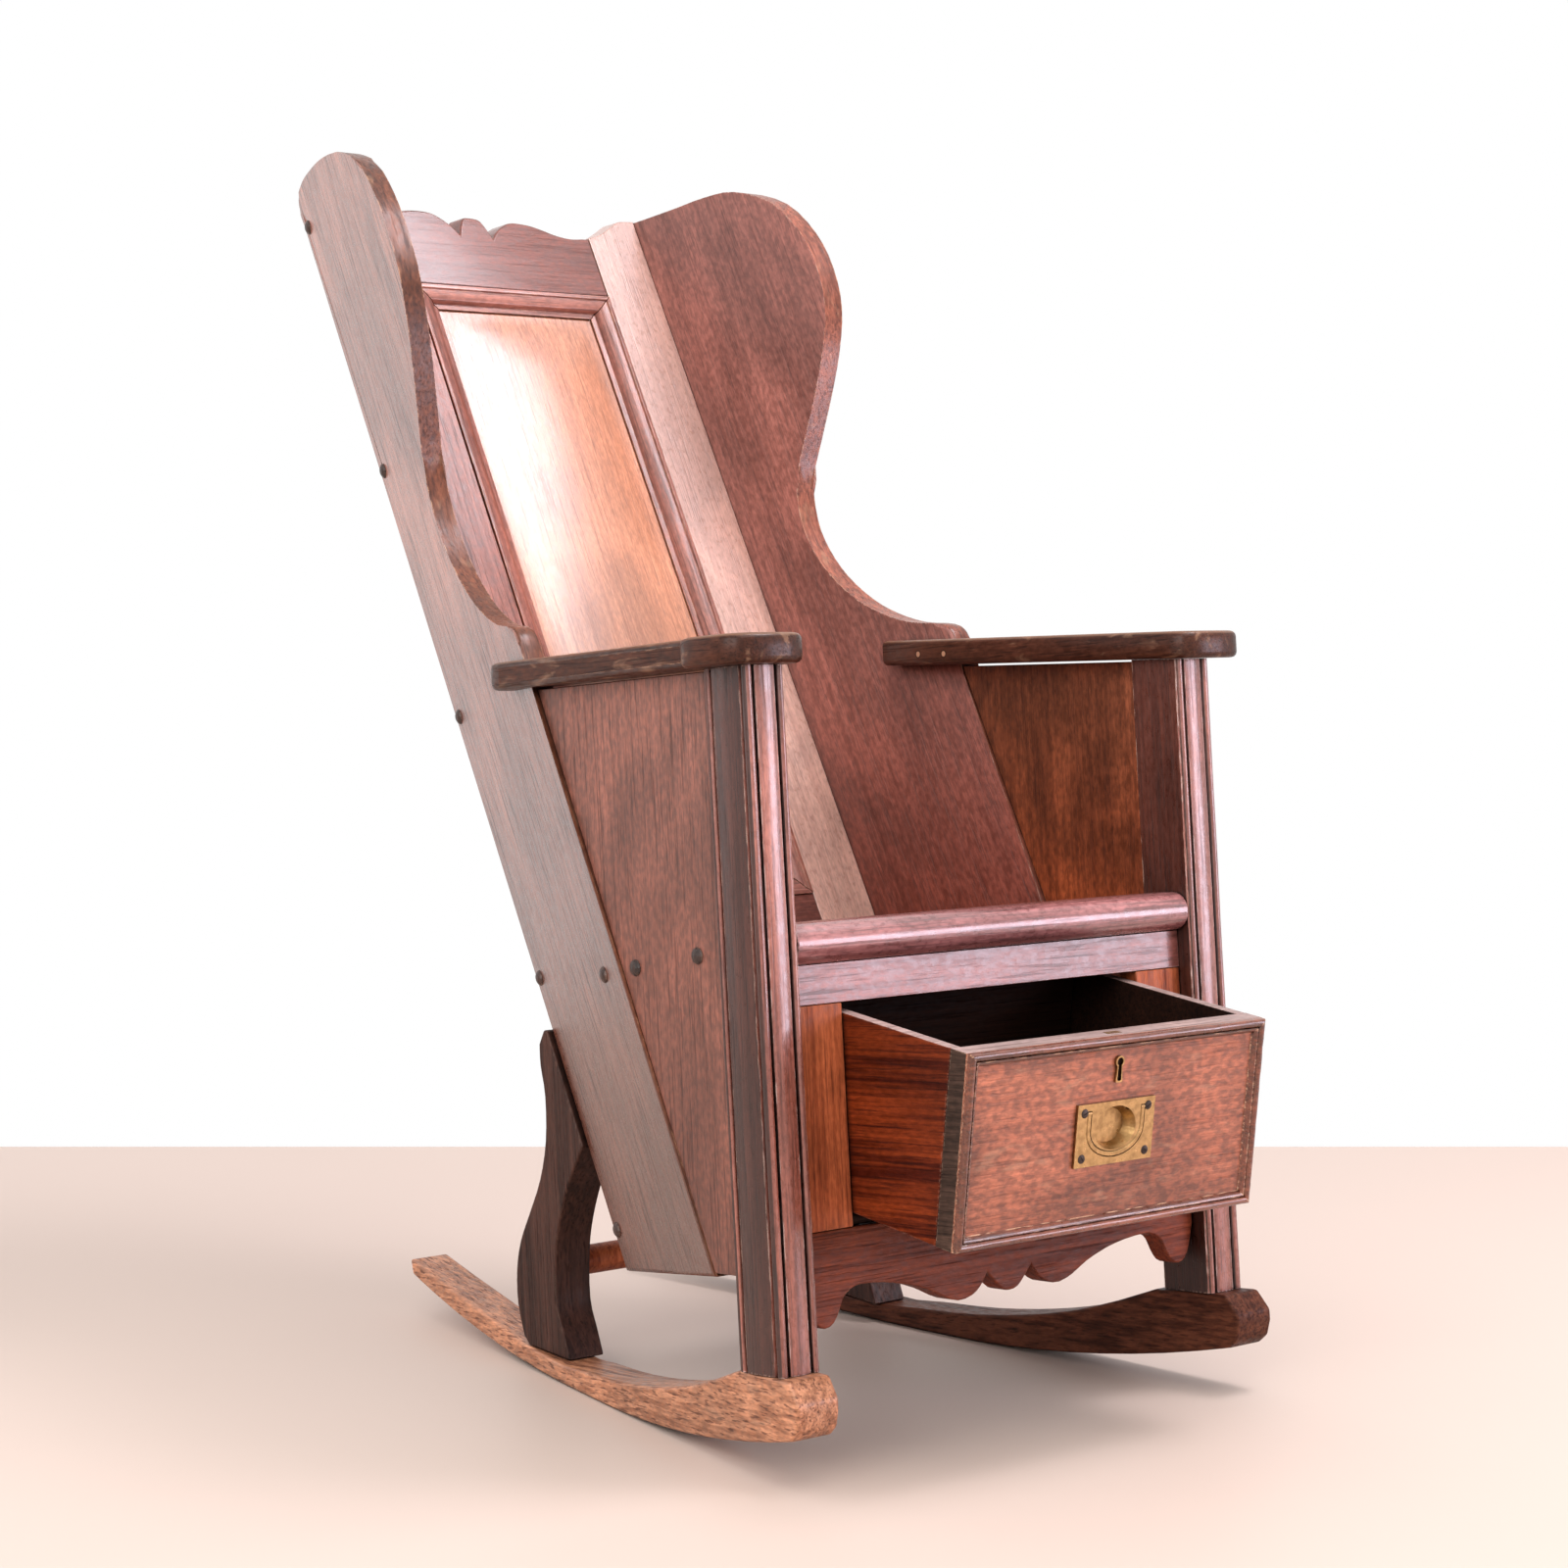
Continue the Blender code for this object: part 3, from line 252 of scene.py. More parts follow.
# %% Streaks
STREAKS = {                                 # cells across and along a metre, detail, warp
    "figure": (16.0, 1.7, 5.0, 1.1),        # the broad pattern of a board
    "fibre": (230.0, 5.0, 4.0, 0.0),        # fine lines
    "pores": (480.0, 15.0, 2.0, 0.0),       # short dark pits
    "patina": (8.0, 4.5, 5.0, 0.9),         # large stains
    "clouds": (210.0, 120.0, 6.0, 0.0),     # small clouds in the polish
    "dust": (620.0, 130.0, 2.0, 0.0),       # the finest specks
    "bare": (75.0, 22.0, 8.0, 0.5),         # patches where the polish has gone
    "nicks": (420.0, 70.0, 3.0, 0.0),       # knocks along an arris
    "wavy": (22.0, 7.0, 2.0, 0.0),          # waves that a hand plane leaves
}


def streaks(tree, grain, kind):
    """Noise drawn out along the grain: many cells across the board, few along it."""
    across, along, detail, warp = STREAKS[kind]
    drawn_out = add(tree, "ShaderNodeVectorMath", {0: grain, 1: (across, across, along)},
                    operation="MULTIPLY")
    cells = add(tree, "ShaderNodeTexNoise", {
        "Vector": drawn_out.outputs["Vector"], "Scale": 1.0, "Detail": detail, "Distortion": warp,
    })
    return cells.outputs["Fac"]


print(len(STREAKS), "kinds of streak")

# %% [markdown]
# ## Colour from the grain
# Dark and light wood are mixed by the figure and the fibres, and stains, clouds and specks are
# laid over them as thin glazes. A Color Ramp could hold more steps of colour, but two woods and
# a few glazes are how a polisher thinks of it, and easier to match to a photograph.

# %% Grain colour
FIGURE_SHARE = 0.38         # the rest of the light and dark comes from the fibres
GRAIN_HALF = 0.13           # half the range of noise between dark and light wood
PORE_TINT = (0.40, 0.34, 0.32)


def blend(tree, how, amount, a, b):
    """Mixes two colours, each of them a colour or a socket."""
    made = add(tree, "ShaderNodeMix", data_type="RGBA", blend_type=how)
    for index, value in ((0, amount), (6, a), (7, b)):
        if isinstance(value, bpy.types.NodeSocket):
            tree.links.new(value, made.inputs[index])
        elif index == 0:
            made.inputs[index].default_value = value
        else:
            made.inputs[index].default_value = (*value, 1.0)
    return made.outputs[2]


def grain_colour(tree, grain, look, dark, light):
    """The wood's colour, with the fibres, clouds and pits that the polish needs again."""
    fibre = streaks(tree, grain, "fibre")
    clouds = streaks(tree, grain, "clouds")
    broad = arith(tree, "MULTIPLY", streaks(tree, grain, "figure"), FIGURE_SHARE)
    mixed = arith(tree, "ADD", broad, arith(tree, "MULTIPLY", fibre, 1.0 - FIGURE_SHARE))
    half = GRAIN_HALF / look["figure"]
    colour = blend(tree, "MIX", spread(tree, mixed, 0.5 - half, 0.5 + half), dark, light)
    patchy, mottle = look["patchy"], look["mottle"]
    patina = streaks(tree, grain, "patina")
    stains = spread(tree, patina, 0.34, 0.66, 1.0 - 0.22 * patchy, 1.0 + 0.14 * patchy)
    flecks = spread(tree, clouds, 0.36, 0.64, 1.0 - 0.20 * mottle, 1.0 + 0.15 * mottle)
    specks = spread(tree, streaks(tree, grain, "dust"), 0.32, 0.68, 0.86, 1.13)
    for layer in (stains, flecks, specks):
        colour = blend(tree, "MULTIPLY", 1.0, colour, layer)
    pits = spread(tree, streaks(tree, grain, "pores"), 0.55, 0.66)
    shade = arith(tree, "MULTIPLY", pits, look["open_grain"])
    return blend(tree, "MULTIPLY", shade, colour, PORE_TINT), fibre, clouds, pits


print("grain is", FIGURE_SHARE, "figure and", round(1.0 - FIGURE_SHARE, 2), "fibres")

# %% [markdown]
# ## Marks of hands, and painted light
# Hands rub the tops of the arms bare, and polish goes in patches. Upper faces are also lightened as
# painted light, and the lower part of a board takes another tint, painted shade on the grey wing side
# and painted light on the right stile. Each mark is placed by a rule: the way a face looks, a noise,
# a height. Marks painted by hand would fit one view and one board only.

# %% Marks of use and painted light
PLUG_R = 0.0036             # a plug of light wood over a screw
PLUG_RIM = (0.30, 0.26, 0.24)
FOOT_LOW, FOOT_HIGH = 0.20, 0.85       # heights between which the foot's tint fades out


def wear_and_painted_light(tree, place, grain, look, colour, worn):
    """Bare patches, rubbed and painted-lit tops, plugs and a tinted lower part, where a finish has them."""
    if look["worn_through"] > 0.0:
        bare = spread(tree, streaks(tree, grain, "bare"), 0.57, 0.72)
        colour = blend(tree, "MIX", arith(tree, "MULTIPLY", bare, look["worn_through"]), colour, worn)
    # upward faces are lightened: rubbed bare by hands, and painted light from above
    if look["worn_top"] > 0.0:
        normal = add(tree, "ShaderNodeNewGeometry").outputs["Normal"]
        lift = add(tree, "ShaderNodeSeparateXYZ", {0: normal}).outputs["Z"]
        colour = blend(tree, "MIX", spread(tree, lift, 0.45, 0.95, 0.0, look["worn_top"]), colour, worn)
    for spot in look["plugs"]:
        reach = add(tree, "ShaderNodeVectorMath", {0: place, 1: spot}, operation="DISTANCE")
        away = reach.outputs["Value"]
        rim = spread(tree, away, PLUG_R, PLUG_R * 1.3, 1.0, 0.0)
        colour = blend(tree, "MULTIPLY", rim, colour, PLUG_RIM)
        core = spread(tree, away, PLUG_R * 0.6, PLUG_R * 0.9, 0.8, 0.0)
        colour = blend(tree, "MIX", core, colour, worn)
    # the lower part is tinted: painted shade on the grey wing side, painted light on the right stile
    if look["foot"] != PLAIN_LOOK["foot"]:
        height = add(tree, "ShaderNodeSeparateXYZ", {0: place}).outputs["Z"]
        low_down = spread(tree, height, FOOT_LOW, FOOT_HIGH, 1.0, 0.0)
        colour = blend(tree, "MULTIPLY", low_down, colour, look["foot"])
    return colour


print("plugs are", round(PLUG_R * 2000, 1), "mm across")

# %% [markdown]
# ## Rubbed edges, and dirt and painted shade in corners
# Knocks bare the arrises, and the corners are darkened for dirt and as painted shade. A Bevel node
# finds the edges and Ambient Occlusion the corners, so one recipe works on every board and follows its
# shape.

# %% Edges and corners
ARRIS = 0.0022              # how far from an edge hands and knocks reach
# dirt and painted shade darken the corners towards this colour
DIRT_AND_SHADE = (0.07, 0.05, 0.045)


def edge_wear_and_shade(tree, grain, look, colour, worn):
    """Rubbed arrises, and dirt with painted shade in the corners."""
    normal = add(tree, "ShaderNodeNewGeometry").outputs["Normal"]
    rounded = add(tree, "ShaderNodeBevel", {"Radius": ARRIS}, samples=4).outputs["Normal"]
    bend = add(tree, "ShaderNodeVectorMath", {0: normal, 1: rounded}, operation="DOT_PRODUCT")
    edge = spread(tree, bend.outputs["Value"], 0.995, 0.90)
    rubbed = arith(tree, "MULTIPLY", edge, spread(tree, streaks(tree, grain, "nicks"), 0.46, 0.62))
    rubbed = arith(tree, "MULTIPLY", rubbed, look["rub"])
    colour = blend(tree, "MIX", rubbed, colour, worn)
    # Ambient Occlusion darkens corners and gaps: dirt, and painted shade
    nooks = add(tree, "ShaderNodeAmbientOcclusion", {"Distance": look["reach"]}, samples=4)
    dirt_and_shade = arith(tree, "MULTIPLY", spread(tree, nooks.outputs["AO"], 0.75, 0.25), look["grime"])
    return blend(tree, "MULTIPLY", dirt_and_shade, colour, DIRT_AND_SHADE)


print("edges are rubbed within", round(ARRIS * 1000, 1), "mm")

# %% [markdown]
# ## Polish
# Wax lies on the wood as a clear coat, but it sinks into the pores and leaves them dull.
# Roughness and a shallow relief therefore come from the same noise as the colour. A relief made
# of real geometry would need millions of faces for fibres this fine.

# %% The polish
PORES_DULL = 0.15           # how much rougher the pores are
RELIEF_DEEP = 0.0009        # metres from the lowest to the highest fibre


def polish(tree, shader, grain, look, fibre, clouds, pits):
    """Roughness, wax and relief."""
    dull = spread(tree, clouds, 0.3, 0.7, look["rough"] - 0.08, look["rough"] + 0.12)
    dull = arith(tree, "ADD", dull, arith(tree, "MULTIPLY", pits, PORES_DULL))
    tree.links.new(dull, shader.inputs["Roughness"])
    shader.inputs["Specular IOR Level"].default_value = look["shine"]
    shader.inputs["Coat Weight"].default_value = look["coat"]
    shader.inputs["Coat Roughness"].default_value = look["coat_rough"]
    relief = arith(tree, "MULTIPLY", fibre, 0.35)
    for how, layer, share in (("ADD", clouds, 0.45), ("SUBTRACT", pits, 0.45),
                              ("ADD", streaks(tree, grain, "wavy"), 1.6)):
        relief = arith(tree, how, relief, arith(tree, "MULTIPLY", layer, share))
    bump = add(tree, "ShaderNodeBump", {"Height": relief, "Strength": 0.35, "Distance": RELIEF_DEEP})
    tree.links.new(bump.outputs["Normal"], shader.inputs["Normal"])


print("relief is", round(RELIEF_DEEP * 1000, 1), "mm deep")

# %% [markdown]
# ## The whole recipe
# Grain, marks, edges and polish are put together in the order in which they came to the board.
# The pattern lives in Object coordinates, and a Mapping node turns that space until its Z runs
# with the grain, so a board needs no UV map.

# %% The recipe
GRAIN_AXIS = Vector((0, 0, 1))


def old_wood(name, along, dark, light, worn, **changes):
    """Old polished wood with its grain along one direction."""
    look = {**PLAIN_LOOK, **changes}
    material, tree, shader = graph(name)
    turn = Vector(along).rotation_difference(GRAIN_AXIS).to_euler()
    place = add(tree, "ShaderNodeTexCoord").outputs["Object"]
    seed = look["seed"]
    grain = add(tree, "ShaderNodeMapping", {
        "Vector": place, "Rotation": turn, "Location": (seed, 2.0 * seed, 3.0 * seed),
    }).outputs["Vector"]
    colour, fibre, clouds, pits = grain_colour(tree, grain, look, dark, light)
    colour = wear_and_painted_light(tree, place, grain, look, colour, worn)
    colour = edge_wear_and_shade(tree, grain, look, colour, worn)
    tree.links.new(colour, shader.inputs["Base Color"])
    polish(tree, shader, grain, look, fibre, clouds, pits)
    return material


print("wood recipe ready, with its grain along", tuple(GRAIN_AXIS))

# %% [markdown]
# ## Finishes of the wing boards
# The outer sides are grey-brown, partly as painted sheen of the bright walls, and darker low down as
# painted shade. The inside is redder, and the edges are dark. Grain runs up the raked boards.
# A finish is a dark wood, a light wood, the colour of bare wood, and what differs from the plain look.

# %% Wing boards
LEAN = math.radians(4.85)   # the whole chair leans back on its rockers
RAKE = 0.4587               # and its back leans further, by this much for each metre up
UP = Vector((0.0, math.sin(LEAN), math.cos(LEAN)))
BACKWARD = Vector((0.0, math.cos(LEAN), -math.sin(LEAN)))
RAKED = (BACKWARD * RAKE + UP).normalized()
ACROSS = Vector((1.0, 0.0, 0.0))

finish = {}


def wood(key, name, along, dark, light, worn, **look):
    """Adds one finish to the list."""
    finish[key] = old_wood(name, along, dark, light, worn, **look)


# the light grey-brown is partly painted sheen, and the darker lower part is painted shade
wood("outer_board", "grey_side_board", RAKED,
     (0.24, 0.092, 0.065), (0.415, 0.170, 0.121), (0.44, 0.30, 0.23),
     rough=0.29, coat=0.75, coat_rough=0.26, figure=0.8, rub=0.3, open_grain=1.0,
     foot=(0.35, 0.28, 0.22))
wood("far_board", "right_side_board", RAKED,
     (0.16, 0.054, 0.035), (0.31, 0.112, 0.072), (0.42, 0.26, 0.19),
     rough=0.50, shine=0.25, figure=0.8, rub=0.3, open_grain=1.0, seed=0.7)
# its pale rubbed edges are wear and partly painted highlight along the front edge
wood("inner_board", "red_wing_board", RAKED,
     (0.17, 0.055, 0.041), (0.36, 0.136, 0.104), (0.62, 0.42, 0.33),
     rough=0.40, coat=0.15, figure=0.36, mottle=1.0, patchy=1.3, open_grain=0.35, rub=0.8,
     foot=(0.62, 0.26, 0.12), seed=1.3)
wood("wing_edge", "dark_wing_edge", RAKED,
     (0.050, 0.013, 0.006), (0.19, 0.060, 0.028), (0.52, 0.30, 0.18),
     rough=0.36, coat=0.16, coat_rough=0.24, shine=0.25, mottle=0.9, rub=0.9, worn_through=0.22,
     seed=1.9)
wood("wing_round", "red_wing_edge", RAKED,
     (0.11, 0.028, 0.016), (0.30, 0.092, 0.052), (0.60, 0.34, 0.20),
     rough=0.36, coat=0.25, shine=0.25, mottle=0.9, rub=0.7, worn_through=0.2, seed=1.6)
print(len(finish), "finishes for the wings")

# %% [markdown]
# ## Finishes of the panels, posts and arms
# The side panels are brown outside and a deep orange-red inside, where the light reaches less.
# The posts are dark, with fronts rubbed pale and lightened as painted light, and the arms are almost
# black, with upper faces rubbed bare and lightened as painted light.
# Two small plugs in the right arm are spots in its finish, since they lie flush.

# %% Panels, posts and arms
ARM_PLUGS = ((0.2032, -0.0067, 0.6712), (0.2032, -0.0447, 0.6722))
wood("panel", "side_panel_board", UP, (0.156, 0.055, 0.035), (0.30, 0.112, 0.077), (0.42, 0.24, 0.16),
     rough=0.44, coat=0.20, figure=0.42, mottle=1.2, patchy=1.3, rub=0.3, foot=(0.80, 0.72, 0.66),
     seed=2.1)
wood("inner_panel", "red_side_panel", UP,
     (0.12, 0.036, 0.017), (0.36, 0.123, 0.058), (0.40, 0.20, 0.11),
     rough=0.46, coat=0.0, shine=0.25, figure=0.36, mottle=1.3, patchy=2.4, open_grain=0.35, rub=0.3,
     foot=(0.86, 0.44, 0.14), seed=2.9)
wood("post", "post_oak", UP, (0.045, 0.013, 0.009), (0.135, 0.044, 0.030), (0.56, 0.36, 0.27),
     rough=0.34, coat=0.25, rub=0.9, grime=1.0, reach=0.006, foot=(0.56, 0.48, 0.42), seed=3.7)
# the fronts' lighter finish is rubbed wear and partly painted light and highlight
wood("post_front", "rubbed_and_lit_post_front", UP,
     (0.18, 0.055, 0.040), (0.50, 0.205, 0.160), (0.76, 0.58, 0.52),
     rough=0.28, coat=0.55, rub=0.9, grime=1.0, reach=0.006, foot=(0.62, 0.50, 0.44), seed=4.0)
wood("arm", "arm_wood", BACKWARD, (0.030, 0.009, 0.005), (0.090, 0.030, 0.016), (0.50, 0.28, 0.17),
     rough=0.36, coat=0.12, shine=0.15, figure=0.4, mottle=1.0, rub=0.9, worn_through=0.30,
     worn_top=0.26, plugs=ARM_PLUGS, seed=4.4)
print(len(finish), "finishes with panels, posts and arms")

# %% [markdown]
# ## Finishes of the framed back
# The back was polished most, so its wax is at full weight and mirrors the window. The panel's light
# orange is partly painted glare, and the right stile's pale pink is painted sheen. The rails have
# their grain across and the stiles up the rake, and each strip of moulding follows its own length.

# %% The framed back
# the light orange is partly painted glare, carried down the panel
wood("back", "polished_back", RAKED, (0.33, 0.115, 0.056), (0.58, 0.245, 0.130), (0.64, 0.36, 0.22),
     rough=0.36, coat=1.0, coat_rough=0.22, shine=0.4, figure=0.42, mottle=0.4, open_grain=0.4,
     seed=5.2)
# the pale pink is painted sheen, and the lower part is lightened as painted light where the wing shades it
wood("back_stile", "polished_back_stile", RAKED,
     (0.33, 0.150, 0.110), (0.56, 0.315, 0.245), (0.62, 0.39, 0.29),
     rough=0.32, coat=1.0, coat_rough=0.34, shine=0.7, figure=0.35, open_grain=0.3, mottle=0.35,
     foot=(1.4, 1.55, 1.6), seed=5.9)
wood("back_rail", "polished_back_rail", ACROSS,
     (0.085, 0.022, 0.015), (0.21, 0.062, 0.043), (0.50, 0.25, 0.17),
     rough=0.42, coat=0.7, coat_rough=0.12, shine=0.25, figure=0.32, mottle=0.8, open_grain=0.3,
     grime=0.9, reach=0.008, seed=6.1)
wood("mould_across", "back_mould_across", ACROSS,
     (0.17, 0.048, 0.032), (0.38, 0.135, 0.095), (0.60, 0.34, 0.22),
     rough=0.36, coat=0.5, mottle=0.8, rub=0.8, reach=0.006, seed=6.4)
wood("mould_up", "back_mould_up", RAKED, (0.17, 0.048, 0.032), (0.38, 0.135, 0.095), (0.60, 0.34, 0.22),
     rough=0.36, coat=0.3, shine=0.3, mottle=0.8, rub=0.8, reach=0.006, seed=6.7)
print(len(finish), "finishes with the back")

# %% [markdown]
# ## Finishes of the seat and the front frame
# The seat's nosing is waxed by every sitter, and its pinkish colour is partly painted sheen.
# The apron and the stiles beside the drawer sit in shade and stay dull and red.

# %% Seat and front frame
wood("rail", "front_rail", ACROSS, (0.14, 0.036, 0.026), (0.37, 0.120, 0.098), (0.62, 0.44, 0.42),
     rough=0.36, coat=0.45, mottle=0.9, rub=0.6, grime=0.8, seed=7.9)
# the pinkish colour is partly painted sheen
wood("nosing", "seat_nosing_wood", ACROSS,
     (0.13, 0.040, 0.036), (0.38, 0.150, 0.145), (0.66, 0.48, 0.48),
     rough=0.30, coat=0.9, mottle=0.8, rub=0.6, grime=0.8, seed=7.6)
wood("apron", "apron_wood", ACROSS, (0.08, 0.014, 0.006), (0.25, 0.055, 0.024), (0.40, 0.22, 0.15),
     rough=0.48, coat=0.0, shine=0.2, rub=0.6, grime=0.8, seed=7.2)
wood("front_stile", "front_stile_wood", UP,
     (0.20, 0.040, 0.014), (0.50, 0.130, 0.048), (0.54, 0.26, 0.13),
     rough=0.46, coat=0.0, shine=0.2, grime=0.9, reach=0.010, seed=8.3)
print(len(finish), "finishes with the front")

# %% [markdown]
# ## Finishes of the drawer
# The front is mottled and bruised, the sides are raw red boards, the ends show dark end grain, and
# the upper edges are bare. The inside has never been polished, and it is near-black as painted shade.

# %% Drawer
wood("drawer", "drawer_front_wood", ACROSS,
     (0.20, 0.056, 0.027), (0.44, 0.150, 0.082), (0.62, 0.36, 0.22),
     rough=0.46, coat=0.10, shine=0.45, figure=0.32, mottle=1.7, patchy=1.5, open_grain=0.35, rub=0.8,
     grime=0.8, reach=0.005, worn_through=0.25, seed=9.6)
wood("drawer_side", "drawer_side_wood", BACKWARD,
     (0.05, 0.005, 0.001), (0.21, 0.033, 0.007), (0.36, 0.20, 0.14),
     rough=0.52, coat=0.0, shine=0.15, figure=0.9, mottle=0.6, rub=0.6, seed=10.2)
wood("bead", "drawer_bead", ACROSS, (0.075, 0.018, 0.008), (0.23, 0.064, 0.030), (0.66, 0.40, 0.25),
     rough=0.30, coat=0.5, mottle=0.8, rub=1.0, grime=0.7, reach=0.004, seed=9.9)
wood("end_grain", "drawer_end_grain", BACKWARD,
     (0.020, 0.012, 0.008), (0.085, 0.048, 0.034), (0.40, 0.26, 0.18),
     rough=0.6, coat=0.0, shine=0.2, mottle=0.9, rub=0.8, seed=10.5)
wood("bare", "bare_drawer_edge", ACROSS, (0.26, 0.17, 0.15), (0.46, 0.33, 0.30), (0.50, 0.36, 0.30),
     rough=0.55, coat=0.0, rub=0.3, grime=0.3, seed=10.9)
# near-black: painted shade for the inside, the runners and the keyhole's floor
wood("inside", "shaded_inside_wood", ACROSS,
     (0.008, 0.003, 0.002), (0.024, 0.008, 0.004), (0.08, 0.04, 0.03),
     rough=0.70, coat=0.0, shine=0.1, seed=11.0)
print(len(finish), "finishes with the drawer")

# %% [markdown]
# ## Finishes of the legs, rockers and pegs
# The rockers came later. The left one is orange, and the right one, seen in shade, has a dark copy
# of its finish as painted shade. The rear legs and the peg heads are very dark.

# %% Legs, rockers and pegs
wood("leg", "rear_leg_wood", UP, (0.024, 0.009, 0.006), (0.085, 0.034, 0.023), (0.34, 0.22, 0.16),
     rough=0.46, coat=0.0, shine=0.2, seed=12.5)
wood("rocker_light", "orange_rocker", BACKWARD,
     (0.24, 0.085, 0.036), (0.56, 0.25, 0.13), (0.64, 0.42, 0.28),
     rough=0.46, figure=1.0, mottle=0.8, open_grain=1.0, worn_through=0.15, seed=13.3)
# a darker copy of the rocker's finish: painted shade
wood("rocker_shaded", "shaded_rocker", BACKWARD,
     (0.050, 0.012, 0.005), (0.16, 0.050, 0.024), (0.40, 0.24, 0.16),
     rough=0.48, coat=0.0, shine=0.15, figure=0.9, seed=14.8)
wood("peg", "peg_head", UP, (0.020, 0.009, 0.006), (0.06, 0.026, 0.018), (0.25, 0.14, 0.09),
     rough=0.40, coat=0.1, seed=15.1)
print(len(finish), "wood finishes in all")

# %% [markdown]
# ## Which board has which finish
# No edge on a chair this old is sharp, so each board also has a radius for its arrises, in metres.
# The wings and arms have 0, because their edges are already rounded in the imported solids.

# %% Boards
BOARDS = {
    "wing_left": ("wing_edge", 0.0), "wing_right": ("wing_round", 0.0),
    "side_panel_left": ("panel", 0.0016), "side_panel_right": ("panel", 0.0016),
    "arm_left": ("arm", 0.0), "arm_right": ("arm", 0.0),
    "seat_board": ("mould_across", 0.0015), "seat_nosing": ("nosing", 0.0015),
    "front_top_rail": ("rail", 0.0014), "apron": ("apron", 0.0018),
    "front_stile_left": ("front_stile", 0.0014), "front_stile_right": ("front_stile", 0.0014),
    # the right stile's pale finish is painted sheen; the left one has the moulding's finish
    "back_stile_left": ("mould_up", 0.0012), "back_stile_right": ("back_stile", 0.0012),
    "back_panel": ("back", 0.0004), "crest_rail": ("back_rail", 0.0020),
    "back_bottom_rail": ("back_rail", 0.0010),
    "back_moulding_top": ("mould_across", 0.0006), "back_moulding_bottom": ("mould_across", 0.0006),
    "back_moulding_left": ("mould_up", 0.0006), "back_moulding_right": ("mould_up", 0.0006),
    "rear_leg_left": ("leg", 0.0022), "rear_leg_right": ("leg", 0.0022),
    "rear_stretcher": ("front_stile", 0.0010),
    # the right rocker's dark finish is painted shade
    "rocker_left": ("rocker_light", 0.0028), "rocker_right": ("rocker_shaded", 0.0028),
    "drawer_front": ("drawer", 0.0012), "drawer_side_left": ("drawer_side", 0.0014),
    # the drawer's back and bottom are near-black as painted shade
    "drawer_side_right": ("drawer_side", 0.0014), "drawer_back": ("inside", 0.0012),
    "drawer_bottom": ("inside", 0.0008),
}
print(len(BOARDS), "boards to soften")

# %% [markdown]
# ## Faces with a finish of their own
# A board that shows two sides to the world has aged in two ways; faces inside the drawer are
# near-black as painted shade. Each line names a board, the way a face of it looks, and that face's
# finish. A vertex-painted mask could do it too, but flat faces are found more simply by their normals.

# %% Faces
DRAWER_UP = Vector((0.0, -0.10713, 0.99425))
BACK_OUT = (BACKWARD - UP * RAKE).normalized()
LEFT_WING_OUT = Vector((-0.953, 0.265, -0.150))
RIGHT_WING_OUT = Vector((0.953, 0.265, -0.150))
SQUARELY = 0.9              # how squarely a face has to look that way
FACES = [
    ("wing_left", LEFT_WING_OUT, "outer_board"), ("wing_left", -LEFT_WING_OUT, "inner_board"),
    ("wing_right", RIGHT_WING_OUT, "far_board"), ("wing_right", -RIGHT_WING_OUT, "inner_board"),
    ("back_stile_right", BACK_OUT, "mould_up"),
    ("side_panel_left", ACROSS, "inner_panel"), ("side_panel_right", -ACROSS, "inner_panel"),
    ("drawer_front", -ACROSS, "end_grain"), ("drawer_front", ACROSS, "end_grain"),
    ("drawer_front", DRAWER_UP, "bare"), ("drawer_side_left", DRAWER_UP, "bare"),
    ("drawer_side_right", DRAWER_UP, "bare"), ("drawer_front", BACKWARD, "inside"),
    ("drawer_side_left", ACROSS, "inside"), ("drawer_side_right", -ACROSS, "inside"),
]
print(len(FACES), "faces with a finish of their own")

# %% [markdown]
# ## Softened boards
# Cutting new boards by hand would lose the exact fit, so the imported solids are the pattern.
# Each is copied first, and the copy's loose triangles are merged into whole faces, because a Bevel
# works on real edges only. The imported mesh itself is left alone.

# %% Copies with whole faces
FLAT_ANGLE = math.radians(0.4)         # triangles flatter than this are one face
SAME_SPOT = 0.000002        # corners this close are one corner
WIDE_FACE = 0.003           # square metres: a face this wide stays flat beside a rounded edge


def merged(node):
    """A copy of a board's mesh with whole faces, smooth except along its wide flat ones."""
    bm = bmesh.new()
    bm.from_mesh(nodes[node].data)
    bmesh.ops.remove_doubles(bm, verts=bm.verts, dist=SAME_SPOT)
    bmesh.ops.dissolve_limit(bm, angle_limit=FLAT_ANGLE, verts=bm.verts, edges=bm.edges)
    for face in bm.faces:
        face.smooth = True
        face.material_index = 0
    for edge in bm.edges:
        wide = [face for face in edge.link_faces if face.calc_area() > WIDE_FACE]
        edge.smooth = BOARDS[node][1] > 0.0 or not wide
    mesh = bpy.data.meshes.new(node + "_board")
    bm.to_mesh(mesh)
    bm.free()
    return mesh


print("faces over", round(WIDE_FACE * 10000), "square cm stay flat")

# %% [markdown]
# ## Rounded arrises
# A Bevel rounds the arrises of each copy as years of hands did, and a Weighted Normal keeps the
# wide faces flat. The result is made a plain mesh, and then the faces get their own finishes.

# %% Softened boards
SOFT_ANGLE = math.radians(32.0)        # edges sharper than this are rounded


def settle(made):
    """Turns an object with modifiers into a plain mesh."""
    bpy.context.view_layer.update()
    graph_now = bpy.context.evaluated_depsgraph_get()
    mesh = bpy.data.meshes.new_from_object(made.evaluated_get(graph_now))
    made.modifiers.clear()
    spare = made.data
    made.data = mesh
    mesh.name = made.name
    bpy.data.meshes.remove(spare)


